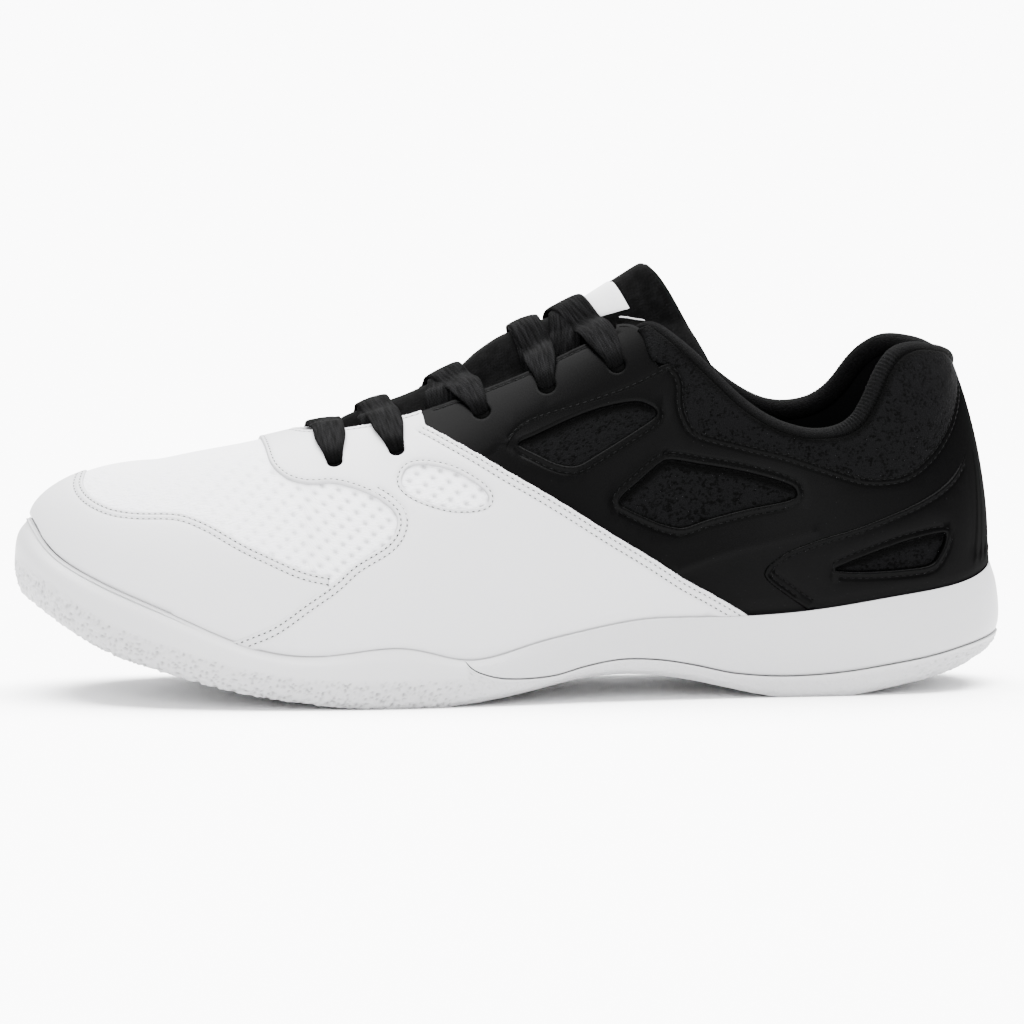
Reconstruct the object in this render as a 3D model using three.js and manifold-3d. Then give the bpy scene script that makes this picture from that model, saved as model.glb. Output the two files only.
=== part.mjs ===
// A left table tennis shoe, empty and unbent. X runs from the toe to the heel, the outer side of the foot is -Y.
import * as THREE from 'three';
import { mergeVertices } from 'three/addons/utils/BufferGeometryUtils.js';
import Module from 'manifold-3d';

const wasm = await Module();
wasm.setup();

// Driving sizes, in millimetres.
const shoeLength = 288;
const ballWidth = 103;
const collarHeight = 102;
const soleHeight = 36;
const upperWall = 2;
const overlayWall = 1.2;
const meetGap = 0.3;
const insoleWall = 3.6;
const tongueWall = 5;
const tongueEdgeWall = 2.6;
const collarRoll = 6.4;
const outsoleStep = 0.7;
const eyeletBore = 4.4;
const boreDepth = 12;
const laceWidth = 7.6;
const laceWall = 1.5;

// The form of the last, from the toe to the heel. at and topAt are shares of the length. outer and inner are
// shares of the ball width from the middle line to the foot line of each side. rimUp, where the upper leaves the
// sole, is a share of the sole height, and wallUp, shoulderUp and topUp are shares of the collar height. flare
// pushes the wall out past the foot line and reach holds the shoulder out from the ridge, both as shares of the
// way between foot line and ridge.
const formSections = [
  { name: 'toe tip',      at: 0.018, outer: -0.058, inner: 0.058, rimUp: 1.417, flare: 0.00, wallUp: 0.560, reach: 0.57, shoulderUp: 0.640, topAt: 0.118, topUp: 0.657 },
  { name: 'toe corner',   at: 0.029, outer: 0.083,  inner: 0.189, rimUp: 1.241, flare: 0.00, wallUp: 0.530, reach: 0.57, shoulderUp: 0.640, topAt: 0.121, topUp: 0.658 },
  { name: 'toe side',     at: 0.052, outer: 0.204,  inner: 0.282, rimUp: 1.082, flare: 0.01, wallUp: 0.500, reach: 0.58, shoulderUp: 0.642, topAt: 0.130, topUp: 0.660 },
  { name: 'little toe',   at: 0.090, outer: 0.306,  inner: 0.359, rimUp: 0.929, flare: 0.02, wallUp: 0.465, reach: 0.58, shoulderUp: 0.648, topAt: 0.150, topUp: 0.664 },
  { name: 'toes',         at: 0.146, outer: 0.388,  inner: 0.413, rimUp: 0.737, flare: 0.03, wallUp: 0.430, reach: 0.56, shoulderUp: 0.665, topAt: 0.180, topUp: 0.681 },
  { name: 'fore ball',    at: 0.215, outer: 0.442,  inner: 0.442, rimUp: 0.504, flare: 0.04, wallUp: 0.400, reach: 0.53, shoulderUp: 0.692, topAt: 0.228, topUp: 0.705 },
  { name: 'ball',         at: 0.295, outer: 0.466,  inner: 0.451, rimUp: 0.419, flare: 0.04, wallUp: 0.390, reach: 0.52, shoulderUp: 0.740, topAt: 0.296, topUp: 0.748 },
  { name: 'throat',       at: 0.375, outer: 0.466,  inner: 0.432, rimUp: 0.462, flare: 0.04, wallUp: 0.420, reach: 0.50, shoulderUp: 0.808, topAt: 0.375, topUp: 0.815 },
  { name: 'fore waist',   at: 0.434, outer: 0.448,  inner: 0.398, rimUp: 0.363, flare: 0.03, wallUp: 0.450, reach: 0.50, shoulderUp: 0.878, topAt: 0.434, topUp: 0.882 },
  { name: 'waist',        at: 0.497, outer: 0.423,  inner: 0.359, rimUp: 0.468, flare: 0.02, wallUp: 0.500, reach: 0.52, shoulderUp: 0.958, topAt: 0.497, topUp: 0.955 },
  { name: 'instep',       at: 0.556, outer: 0.393,  inner: 0.330, rimUp: 0.572, flare: 0.01, wallUp: 0.560, reach: 0.55, shoulderUp: 1.036, topAt: 0.556, topUp: 1.030 },
  { name: 'upper instep', at: 0.615, outer: 0.369,  inner: 0.311, rimUp: 0.646, flare: 0.00, wallUp: 0.620, reach: 0.60, shoulderUp: 1.110, topAt: 0.615, topUp: 1.100 },
  { name: 'ankle front',  at: 0.670, outer: 0.350,  inner: 0.300, rimUp: 0.652, flare: 0.00, wallUp: 0.640, reach: 0.68, shoulderUp: 1.165, topAt: 0.665, topUp: 1.160 },
  { name: 'ankle',        at: 0.735, outer: 0.332,  inner: 0.299, rimUp: 0.657, flare: 0.02, wallUp: 0.620, reach: 0.78, shoulderUp: 1.200, topAt: 0.715, topUp: 1.200 },
  { name: 'heel side',    at: 0.803, outer: 0.324,  inner: 0.301, rimUp: 0.703, flare: 0.04, wallUp: 0.600, reach: 0.84, shoulderUp: 1.220, topAt: 0.760, topUp: 1.220 },
  { name: 'heel quarter', at: 0.872, outer: 0.303,  inner: 0.291, rimUp: 0.782, flare: 0.05, wallUp: 0.600, reach: 0.84, shoulderUp: 1.230, topAt: 0.795, topUp: 1.230 },
  { name: 'heel bend',    at: 0.936, outer: 0.243,  inner: 0.240, rimUp: 0.856, flare: 0.05, wallUp: 0.600, reach: 0.80, shoulderUp: 1.235, topAt: 0.818, topUp: 1.235 },
  { name: 'heel corner',  at: 0.972, outer: 0.136,  inner: 0.136, rimUp: 0.935, flare: 0.05, wallUp: 0.600, reach: 0.76, shoulderUp: 1.238, topAt: 0.828, topUp: 1.238 },
  { name: 'heel back',    at: 0.9855, outer: 0.0,   inner: 0.0,   rimUp: 0.992, flare: 0.05, wallUp: 0.600, reach: 0.74, shoulderUp: 1.240, topAt: 0.830, topUp: 1.240 },
];

// The sole, a row for each section of the form. groundUp is its lower edge, bellyUp its widest line and floorUp
// the floor inside it, as shares of the sole height. lip is how far it stands out from the foot line and tuck how
// far its lower edge lies back in, as shares of the ball width.
const soleSections = [
  { name: 'toe tip',      groundUp: 0.722,  bellyUp: 1.111, floorUp: 0.944, lip: 0.050, tuck: 0.068 },
  { name: 'toe corner',   groundUp: 0.655,  bellyUp: 1.040, floorUp: 0.860, lip: 0.047, tuck: 0.063 },
  { name: 'toe side',     groundUp: 0.545,  bellyUp: 0.900, floorUp: 0.750, lip: 0.045, tuck: 0.050 },
  { name: 'little toe',   groundUp: 0.400,  bellyUp: 0.690, floorUp: 0.590, lip: 0.042, tuck: 0.040 },
  { name: 'toes',         groundUp: 0.262,  bellyUp: 0.510, floorUp: 0.430, lip: 0.042, tuck: 0.032 },
  { name: 'fore ball',    groundUp: 0.125,  bellyUp: 0.340, floorUp: 0.300, lip: 0.043, tuck: 0.026 },
  { name: 'ball',         groundUp: 0.030,  bellyUp: 0.250, floorUp: 0.255, lip: 0.045, tuck: 0.022 },
  { name: 'throat',       groundUp: -0.015, bellyUp: 0.240, floorUp: 0.240, lip: 0.045, tuck: 0.022 },
  { name: 'fore waist',   groundUp: 0.022,  bellyUp: 0.240, floorUp: 0.235, lip: 0.041, tuck: 0.029 },
  { name: 'waist',        groundUp: 0.102,  bellyUp: 0.300, floorUp: 0.320, lip: 0.037, tuck: 0.039 },
  { name: 'instep',       groundUp: 0.192,  bellyUp: 0.375, floorUp: 0.417, lip: 0.034, tuck: 0.049 },
  { name: 'upper instep', groundUp: 0.205,  bellyUp: 0.390, floorUp: 0.486, lip: 0.034, tuck: 0.049 },
  { name: 'ankle front',  groundUp: 0.142,  bellyUp: 0.360, floorUp: 0.505, lip: 0.033, tuck: 0.039 },
  { name: 'ankle',        groundUp: 0.026,  bellyUp: 0.320, floorUp: 0.514, lip: 0.034, tuck: 0.025 },
  { name: 'heel side',    groundUp: -0.015, bellyUp: 0.333, floorUp: 0.528, lip: 0.036, tuck: 0.023 },
  { name: 'heel quarter', groundUp: 0.062,  bellyUp: 0.390, floorUp: 0.542, lip: 0.039, tuck: 0.034 },
  { name: 'heel bend',    groundUp: 0.163,  bellyUp: 0.470, floorUp: 0.556, lip: 0.041, tuck: 0.049 },
  { name: 'heel corner',  groundUp: 0.245,  bellyUp: 0.560, floorUp: 0.570, lip: 0.041, tuck: 0.066 },
  { name: 'heel back',    groundUp: 0.283,  bellyUp: 0.620, floorUp: 0.583, lip: 0.043, tuck: 0.078 },
];

// The rows in order round the shoe: toe tip, lateral side, heel back, medial side.
const lastRow = formSections.length - 1;
const sectionRows = formSections.map((row, i) => ({ ...soleSections[i], ...row }));
const loopRows = [
  ...sectionRows.map((row) => ({ row, side: -1 })),
  ...sectionRows.slice(1, lastRow).reverse().map((row) => ({ row, side: 1 })),
];
const stepLengths = sectionRows.slice(1).map((row, i) => {
  const from = sectionRows[i];
  const onward = (row.at - from.at) * shoeLength;
  const sideways = ((row.outer - from.outer) + (row.inner - from.inner)) / 2 * ballWidth;
  return Math.hypot(onward, sideways) + 2;
});
const knots = [0];
for (const step of [...stepLengths, ...[...stepLengths].reverse()]) knots.push(knots.at(-1) + step);
const loopLength = knots.at(-1);

// A smooth closed curve through one value a row, as a function of the place along the loop.
function closedSpline(values) {
  const n = values.length;
  const width = (i) => knots[(i + n) % n + 1] - knots[(i + n) % n];
  const bend = new Array(n).fill(0);
  for (let round = 0; round < 80; round++) {
    for (let i = 0; i < n; i++) {
      const before = width(i - 1);
      const after = width(i);
      const kink = (values[(i + 1) % n] - values[i]) / after - (values[i] - values[(i - 1 + n) % n]) / before;
      bend[i] = (6 * kink - before * bend[(i - 1 + n) % n] - after * bend[(i + 1) % n]) / (2 * (before + after));
    }
  }
  return (place) => {
    const t = ((place % loopLength) + loopLength) % loopLength;
    let i = 0;
    while (i < n - 1 && knots[i + 1] <= t) i++;
    const w = width(i);
    const a = (knots[i + 1] - t) / w;
    const b = 1 - a;
    const curve = ((a ** 3 - a) * bend[i] + (b ** 3 - b) * bend[(i + 1) % n]) * w * w / 6;
    return a * values[i] + b * values[(i + 1) % n] + curve;
  };
}
const rail = (pick) => closedSpline(loopRows.map(pick));
const xOf = (share) => (share - 0.5) * shoeLength;
const footX = rail(({ row }) => xOf(row.at));
const footY = rail(({ row, side }) => (side < 0 ? -row.outer : row.inner) * ballWidth);
const rimZ = rail(({ row }) => row.rimUp * soleHeight);
const flare = rail(({ row }) => row.flare);
const wallZ = rail(({ row }) => row.wallUp * collarHeight);
const reach = rail(({ row }) => row.reach);
const shoulderZ = rail(({ row }) => row.shoulderUp * collarHeight);
const topX = rail(({ row }) => xOf(row.topAt));
const topY = rail(({ row }) => 0.03 * ballWidth * Math.max(0, 1 - row.topAt / 0.6));
const topZ = rail(({ row }) => row.topUp * collarHeight);
const groundZ = rail(({ row }) => row.groundUp * soleHeight);
const bellyZ = rail(({ row }) => row.bellyUp * soleHeight);
const floorZ = rail(({ row }) => row.floorUp * soleHeight);
const lip = rail(({ row }) => row.lip * ballWidth);
const tuck = rail(({ row }) => row.tuck * ballWidth);

// A point of the last's surface: t is the place along the loop and v runs from the foot line to the ridge.
function formPlain(t, v) {
  const foot = new THREE.Vector3(footX(t), footY(t), rimZ(t));
  const top = new THREE.Vector3(topX(t), topY(t), topZ(t));
  const spread = new THREE.Vector3(foot.x - top.x, foot.y - top.y, 0);
  const wall = foot.clone().addScaledVector(spread, flare(t)).setZ(wallZ(t));
  const shoulder = top.clone().addScaledVector(spread, reach(t)).setZ(shoulderZ(t));
  const w = 1 - v;
  return new THREE.Vector3()
    .addScaledVector(foot, w ** 3)
    .addScaledVector(wall, 3 * w * w * v)
    .addScaledVector(shoulder, 3 * w * v * v)
    .addScaledVector(top, v ** 3);
}
function sideNormal(t, v) {
  const around = formPlain(t + 0.5, v).sub(formPlain(t - 0.5, v));
  const upward = formPlain(t, v + 0.01).sub(formPlain(t, Math.max(0, v - 0.01)));
  return around.cross(upward).normalize();
}
const ridgeStart = 0.97;
function formNormal(t, v) {
  if (v <= ridgeStart) return sideNormal(t, v);
  const here = sideNormal(t, ridgeStart);
  const ridge = here.clone().add(sideNormal(loopLength - t, ridgeStart)).normalize();
  return here.lerp(ridge, (v - ridgeStart) / (1 - ridgeStart)).normalize();
}
const formPoint = (t, v, offset) => formPlain(t, v).addScaledVector(formNormal(t, v), offset);

// A smooth open curve through the values of one column of a table, by its at column.
function column(table, name) {
  const points = table.map((row) => new THREE.Vector2(row.at, row[name]));
  return (at) => {
    if (at <= points[0].x) return points[0].y;
    if (at >= points.at(-1).x) return points.at(-1).y;
    let i = 0;
    while (points[i + 1].x < at) i++;
    const slope = (j) => {
      const a = points[Math.max(0, j - 1)];
      const b = points[Math.min(points.length - 1, j + 1)];
      return (b.y - a.y) / (b.x - a.x);
    };
    const w = points[i + 1].x - points[i].x;
    const s = (at - points[i].x) / w;
    const rise = points[i + 1].y - points[i].y;
    const bow = s * (1 - s) * ((slope(i) * w - rise) * (1 - s) - (slope(i + 1) * w - rise) * s);
    return points[i].y + rise * s + bow;
  };
}

// The opening: half its width across the throat as a share of the ball width, and the height of the collar's rim
// on each side as a share of the collar height.
const throatRows = [
  { at: 0.281, half: 0.000 },
  { at: 0.290, half: 0.050 },
  { at: 0.310, half: 0.088 },
  { at: 0.345, half: 0.122 },
  { at: 0.400, half: 0.140 },
  { at: 0.500, half: 0.146 },
  { at: 0.570, half: 0.136 },
  { at: 0.640, half: 0.136 },
];
const collarRows = [
  { at: 0.596, outer: 1.105, inner: 1.110 },
  { at: 0.625, outer: 1.072, inner: 1.082 },
  { at: 0.648, outer: 1.030, inner: 1.045 },
  { at: 0.670, outer: 0.977, inner: 1.000 },
  { at: 0.694, outer: 0.908, inner: 0.942 },
  { at: 0.718, outer: 0.845, inner: 0.882 },
  { at: 0.743, outer: 0.798, inner: 0.832 },
  { at: 0.768, outer: 0.770, inner: 0.798 },
  { at: 0.793, outer: 0.758, inner: 0.786 },
  { at: 0.820, outer: 0.770, inner: 0.797 },
  { at: 0.840, outer: 0.808, inner: 0.828 },
  { at: 0.854, outer: 0.872, inner: 0.872 },
  { at: 0.864, outer: 0.930, inner: 0.916 },
  { at: 0.877, outer: 0.978, inner: 0.956 },
  { at: 0.895, outer: 0.994, inner: 0.982 },
  { at: 0.925, outer: 0.982, inner: 0.974 },
  { at: 0.945, outer: 0.962, inner: 0.958 },
  { at: 0.960, outer: 0.942, inner: 0.942 },
];
const throatHalf = column(throatRows, 'half');
const collarUp = { '-1': column(collarRows, 'outer'), 1: column(collarRows, 'inner') };
function isOpen(t, v) {
  const p = formPlain(t, v);
  const at = p.x / shoeLength + 0.5;
  const aside = Math.abs(p.y - topY(t)) / ballWidth;
  if (at > throatRows[0].at && at < throatRows.at(-1).at && aside < throatHalf(at)) return true;
  return at > collarRows[0].at && p.z > collarUp[t < loopLength / 2 ? -1 : 1](at) * collarHeight;
}

// How far up the wall goes at a place: to the ridge, or to the edge of the opening.
function edgeShare(t) {
  let v = 0.3;
  while (v < 1 && !isOpen(t, v)) v += 0.01;
  if (v >= 1) return 1;
  let low = v - 0.01;
  for (let round = 0; round < 12; round++) {
    const mid = (low + v) / 2;
    if (isOpen(t, mid)) v = mid;
    else low = mid;
  }
  return v;
}
// The share that lies a length below another one on the wall.
function shareBelow(t, v, length) {
  const slope = formPlain(t, v).distanceTo(formPlain(t, v - 0.05)) / 0.05;
  return v - length / slope;
}
// The share at which the wall reaches a height.
function shareAtHeight(t, height) {
  let low = 0;
  let high = 0.6;
  for (let round = 0; round < 20; round++) {
    const mid = (low + high) / 2;
    if (formPlain(t, mid).z < height) low = mid;
    else high = mid;
  }
  return high;
}
// The place whose ridge point has a share of the length, on the lateral side or mirrored to the medial side.
function ridgePlace(at, side = -1) {
  let low = 0;
  let high = loopLength / 2;
  for (let round = 0; round < 30; round++) {
    const mid = (low + high) / 2;
    if (topX(mid) < xOf(at)) low = mid;
    else high = mid;
  }
  return side < 0 ? low : loopLength - low;
}
const fade = (from, to, value) => THREE.MathUtils.smoothstep(value, Math.min(from, to), Math.max(from, to));

// Places round the loop, the same on both sides, closer together where the opening turns.
const closeSpans = [
  { from: 0.250, to: 0.340, weight: 1.6 },
  { from: 0.600, to: 0.900, weight: 0.6 },
];
function loopPlaces(halfCount) {
  const fine = 400;
  const weights = [0];
  for (let i = 0; i < fine; i++) {
    const at = footX((i + 0.5) / fine * loopLength / 2) / shoeLength + 0.5;
    const extra = closeSpans.reduce((sum, span) => sum + (at > span.from && at < span.to ? span.weight : 0), 0);
    weights.push(weights.at(-1) + 1 + extra);
  }
  const half = [0];
  for (let i = 1; i < halfCount; i++) {
    const goal = i / halfCount * weights.at(-1);
    const j = weights.findIndex((value) => value >= goal);
    const part = (goal - weights[j - 1]) / (weights[j] - weights[j - 1]);
    half.push((j - 1 + part) / fine * loopLength / 2);
  }
  return [...half, loopLength / 2, ...half.slice(1).reverse().map((t) => loopLength - t)];
}

const wallPlaces = loopPlaces(27);

// Solids are made from triangles of loose points, which are then welded.
function weld(triangles) {
  const loose = new THREE.BufferGeometry();
  loose.setAttribute('position', new THREE.Float32BufferAttribute(triangles.flatMap((p) => [p.x, p.y, p.z]), 3));
  const welded = mergeVertices(loose, 0.002);
  const index = [...welded.index.array];
  const kept = [];
  for (let i = 0; i < index.length; i += 3) {
    const [a, b, c] = index.slice(i, i + 3);
    if (a !== b && b !== c && c !== a) kept.push(a, b, c);
  }
  welded.setIndex(kept);
  const position = welded.getAttribute('position');
  const corner = (i) => new THREE.Vector3().fromBufferAttribute(position, i);
  let volume = 0;
  for (let i = 0; i < kept.length; i += 3) {
    volume += corner(kept[i]).dot(corner(kept[i + 1]).cross(corner(kept[i + 2])));
  }
  if (volume < 0) welded.setIndex(kept.reverse());
  return welded;
}
function quad(triangles, a, b, c, d) {
  triangles.push(a, b, c, a, c, d);
}
// Closes a ring of points, the same on both sides, with rungs from side to side.
function capRing(triangles, ring, facingUp, rungs = 2) {
  const half = ring.length / 2;
  const rung = (i) => {
    const other = ring[(ring.length - i) % ring.length];
    return Array.from({ length: rungs + 1 }, (_, j) => ring[i].clone().lerp(other, j / rungs));
  };
  for (let i = 0; i < half; i++) {
    const near = rung(i);
    const far = rung(i + 1);
    for (let j = 0; j < rungs; j++) {
      if (facingUp) quad(triangles, near[j], far[j], far[j + 1], near[j + 1]);
      else quad(triangles, near[j], near[j + 1], far[j + 1], far[j]);
    }
  }
}
// Joins closed rings from the lowest outside to the highest, with a cap at each end.
function ringSolid(rings) {
  const triangles = [];
  for (let k = 0; k + 1 < rings.length; k++) {
    const count = rings[k].length;
    for (let i = 0; i < count; i++) {
      const next = (i + 1) % count;
      quad(triangles, rings[k][i], rings[k][next], rings[k + 1][next], rings[k + 1][i]);
    }
  }
  capRing(triangles, rings[0], false);
  capRing(triangles, rings.at(-1), true);
  return weld(triangles);
}
const toManifold = (geometry) => new wasm.Manifold(new wasm.Mesh({
  numProp: 3,
  vertProperties: Float32Array.from(geometry.getAttribute('position').array),
  triVerts: Uint32Array.from(geometry.index.array),
}));
function fromManifold(manifold) {
  const mesh = manifold.getMesh();
  const geometry = new THREE.BufferGeometry();
  geometry.setAttribute('position', new THREE.BufferAttribute(Float32Array.from(mesh.vertProperties), 3));
  geometry.setIndex([...mesh.triVerts]);
  return geometry;
}

// The outward direction of the foot line, level with the floor.
function outward(t) {
  const dx = footX(t + 0.5) - footX(t - 0.5);
  const dy = footY(t + 0.5) - footY(t - 0.5);
  return new THREE.Vector3(dy, -dx, 0).normalize();
}
const footPoint = (t, out, z) => new THREE.Vector3(footX(t), footY(t), z).addScaledVector(outward(t), out);

// The sole as one cup, from its ground line up over the rim and down to the floor inside.
const rimWidth = 1.4;
function soleCup(step) {
  const low = (t) => Math.max(0, groundZ(t));
  const stepOut = (t) => step * fade(0.45, 0.75, footX(t) / shoeLength + 0.5);
  const ring = (point) => wallPlaces.map(point);
  return toManifold(ringSolid([
    ring((t) => footPoint(t, lip(t) + stepOut(t) - tuck(t), low(t))),
    ring((t) => footPoint(t, lip(t) + stepOut(t) - tuck(t) * 0.35, THREE.MathUtils.lerp(low(t), bellyZ(t), 0.22))),
    ring((t) => footPoint(t, lip(t) + stepOut(t) - tuck(t) * 0.06, THREE.MathUtils.lerp(low(t), bellyZ(t), 0.6))),
    ring((t) => footPoint(t, lip(t) + stepOut(t), bellyZ(t))),
    ring((t) => footPoint(t, lip(t) * 0.82, THREE.MathUtils.lerp(bellyZ(t), rimZ(t), 0.6))),
    ring((t) => footPoint(t, meetGap + rimWidth, rimZ(t))),
    ring((t) => footPoint(t, meetGap, rimZ(t))),
    ring((t) => footPoint(t, meetGap, floorZ(t))),
  ]));
}
// A block across the whole shoe, or one side of it, over an outline seen from the side.
function sideBlock(points, from = -ballWidth, to = ballWidth) {
  const shape = new THREE.Shape(points.map((p) => new THREE.Vector2(p.x, p.y)));
  const block = new THREE.ExtrudeGeometry(shape, { depth: to - from, bevelEnabled: false, steps: 1 });
  block.rotateX(Math.PI / 2).translate(0, to, 0);
  block.deleteAttribute('normal');
  block.deleteAttribute('uv');
  return toManifold(mergeVertices(block, 0.0001));
}
const sideOutline = (rows, height) => rows.map(([at, up]) => new THREE.Vector2(xOf(at), up * height));
function grown(points, distance) {
  const turn = Math.sign(THREE.ShapeUtils.area(points));
  return points.map((point, i) => {
    const before = points[(i - 1 + points.length) % points.length];
    const after = points[(i + 1) % points.length];
    const along = after.clone().sub(before).normalize();
    return point.clone().add(new THREE.Vector2(along.y, -along.x).multiplyScalar(distance * turn));
  });
}

// The line between outsole and midsole, from the notch below the waist to the heel: shares of the length and of
// the sole height.
const midsoleLine = [
  [0.424, 0.480], [0.435, 0.330], [0.450, 0.262], [0.475, 0.222], [0.520, 0.232], [0.555, 0.300], [0.590, 0.345],
  [0.628, 0.335], [0.665, 0.285], [0.705, 0.212], [0.745, 0.180], [0.785, 0.180], [0.825, 0.205], [0.870, 0.255],
  [0.910, 0.305], [0.950, 0.372], [1.020, 0.480],
];
const aboveLine = sideOutline([...midsoleLine, [1.05, 2], [0.424, 2]], soleHeight);
const midsole = soleCup(0).intersect(sideBlock(aboveLine));
const outsole = soleCup(outsoleStep).subtract(sideBlock(grown(aboveLine, meetGap)));

// The insole lies on the floor, inside the wall of the upper.
function insoleSolid() {
  const inside = -(upperWall + 2 * meetGap);
  const ring = (out, up) => wallPlaces.map((t) => footPoint(t, inside - out, floorZ(t) + meetGap + up));
  return ringSolid([ring(1.2, 0), ring(0, 0.9), ring(0, insoleWall), ring(2.2, insoleWall - 0.9)]);
}

// A shell of the form between two offsets, open at throat and collar.
function shell(places, shares, outerOffset, innerOffset, lowShare, highShare, skirt) {
  const lows = places.map(lowShare);
  const highs = places.map(highShare);
  const face = (offset) => {
    const rows = shares.map((share) => places.map((t, i) => (
      formPoint(t, THREE.MathUtils.lerp(lows[i], highs[i], share), offset))));
    if (skirt) rows.unshift(rows[0].map((p, i) => p.clone().setZ(skirt(places[i]))));
    return rows;
  };
  const outer = face(outerOffset);
  const inner = face(innerOffset);
  const triangles = [];
  const top = outer.length - 1;
  places.forEach((_, i) => {
    const next = (i + 1) % places.length;
    for (let k = 0; k < top; k++) {
      quad(triangles, outer[k][i], outer[k][next], outer[k + 1][next], outer[k + 1][i]);
      quad(triangles, inner[k][i], inner[k + 1][i], inner[k + 1][next], inner[k][next]);
    }
    quad(triangles, outer[0][i], inner[0][i], inner[0][next], outer[0][next]);
    if (highs[i] < 1 || highs[next] < 1) {
      quad(triangles, outer[top][i], outer[top][next], inner[top][next], inner[top][i]);
    }
  });
  return weld(triangles);
}

// The padded roll sits on the edge of the collar and thins out towards the throat.
const rollStart = 0.592;
const rollDepth = 0.45;
function rollSize(t) {
  const at = formPlain(t, edgeShare(t)).x / shoeLength + 0.5;
  return collarRoll * fade(rollStart, rollStart + 0.05, at);
}
function wallShare(t) {
  const edge = edgeShare(t);
  const size = edge < 1 ? rollSize(t) : 0;
  return size > 0 ? shareBelow(t, edge, size + 1.5 * meetGap * fade(0, 1, size)) : edge;
}
const wallShares = [0, 0.13, 0.28, 0.43, 0.58, 0.72, 0.86, 1];
const upperShell = toManifold(shell(
  wallPlaces, wallShares, 0, -upperWall, () => 0, wallShare, (t) => floorZ(t) + meetGap));

// Eyelets, a pair for each row of laces: share of the length and of the collar height. lean is how far the lace
// runs forward to the other side, as a share of the way to the row before.
const eyeletRows = [
  { at: 0.3126, up: 0.665, lean: 0.00 },
  { at: 0.3743, up: 0.698, lean: 0.45 },
  { at: 0.4612, up: 0.801, lean: 0.60 },
  { at: 0.5270, up: 0.872, lean: 0.45 },
  { at: 0.5973, up: 0.931, lean: 0.60 },
];
// The place and share of a point of the lateral side seen from the side.
function placeFromSide(at, up) {
  let t = ridgePlace(at);
  let v = 0.5;
  for (let round = 0; round < 40; round++) {
    let low = 0;
    let high = 1;
    for (let half = 0; half < 16; half++) {
      v = (low + high) / 2;
      if (formPlain(t, v).z < up * collarHeight) low = v;
      else high = v;
    }
    t += (xOf(at) - formPlain(t, v).x) * 0.8;
  }
  return { t, v };
}
const eyelets = eyeletRows.map(({ at, up }) => placeFromSide(at, up));
const sides = [-1, 1];
const onSide = (t, side) => (side < 0 ? t : loopLength - t);
function eyeletBores() {
  const bores = sides.flatMap((side) => eyelets.map(({ t, v }) => {
    const place = onSide(t, side);
    const bore = new THREE.CylinderGeometry(eyeletBore / 2, eyeletBore / 2, boreDepth, 6);
    bore.deleteAttribute('normal');
    bore.deleteAttribute('uv');
    const turn = new THREE.Quaternion().setFromUnitVectors(new THREE.Vector3(0, 1, 0), formNormal(place, v));
    bore.applyQuaternion(turn).translate(...formPlain(place, v));
    return toManifold(mergeVertices(bore, 0.0001));
  }));
  return bores.reduce((all, bore) => all.add(bore));
}
const bores = eyeletBores();
const upper = upperShell.subtract(bores);

// Overlays lie on the upper. Each is the part of one layer that lies behind an outline seen from the side, in
// shares of the length and of the collar height.
const layerLow = (t) => shareAtHeight(t, rimZ(t) + 2 * meetGap);
const layerHigh = (t) => {
  const high = wallShare(t);
  return high < 1 ? shareBelow(t, high, 0.6) : 1;
};
const layer = toManifold(shell(
  wallPlaces, wallShares, meetGap + overlayWall, meetGap, layerLow, layerHigh)).subtract(bores);
const vampOutline = sideOutline([
  [0.256, 1.10], [0.250, 0.700], [0.252, 0.658], [0.266, 0.622], [0.283, 0.608], [0.309, 0.610], [0.333, 0.595],
  [0.354, 0.566], [0.367, 0.524], [0.366, 0.484], [0.354, 0.450], [0.321, 0.396], [0.301, 0.348], [0.272, 0.298],
  [0.240, 0.235], [0.203, 0.190], [0.190, 0.000], [0.735, 0.000], [0.735, 0.214], [0.686, 0.297], [0.596, 0.451],
  [0.542, 0.544], [0.490, 0.631], [0.456, 0.687], [0.430, 0.729], [0.406, 0.762], [0.400, 1.10],
], collarHeight);
const toeOutline = sideOutline([
  [-0.05, 1.0], [0.075, 1.0], [0.072, 0.630], [0.0655, 0.592], [0.073, 0.560], [0.090, 0.537], [0.111, 0.528],
  [0.142, 0.527], [0.161, 0.519], [0.185, 0.491], [0.215, 0.441], [0.245, 0.398], [0.273, 0.366], [0.310, 0.350],
  [0.310, 0.000], [-0.05, 0.000],
], collarHeight);
const counterOutline = sideOutline([
  [0.784, 0.10], [0.784, 0.254], [0.742, 0.328], [0.741, 0.361], [0.755, 0.397], [0.775, 0.423], [0.801, 0.452],
  [0.831, 0.474], [0.862, 0.504], [0.893, 0.539], [0.918, 0.575], [0.936, 0.612], [0.949, 0.659], [0.957, 0.712],
  [0.956, 0.762], [0.952, 0.830], [0.945, 0.900], [1.05, 0.900], [1.05, 0.10],
], collarHeight);
const eyestayOutline = sideOutline([
  [0.400, 0.740], [0.490, 0.732], [0.502, 0.765], [0.526, 0.796], [0.568, 0.832], [0.612, 0.876], [0.645, 0.915],
  [0.638, 0.960], [0.630, 1.010], [0.622, 1.036], [0.612, 1.10], [0.400, 1.10],
], collarHeight);
const quarterOutline = sideOutline([
  [0.400, 0.800], [0.500, 1.000], [0.657, 0.934], [0.664, 0.914], [0.666, 0.878], [0.666, 0.828], [0.669, 0.789],
  [0.679, 0.759], [0.721, 0.728], [0.764, 0.698], [0.807, 0.660], [0.840, 0.632], [0.863, 0.626], [0.885, 0.638],
  [0.908, 0.684], [0.926, 0.745], [0.939, 0.810], [0.945, 0.865], [1.05, 0.865], [1.05, 0.100], [0.720, 0.100],
], collarHeight);
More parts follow.
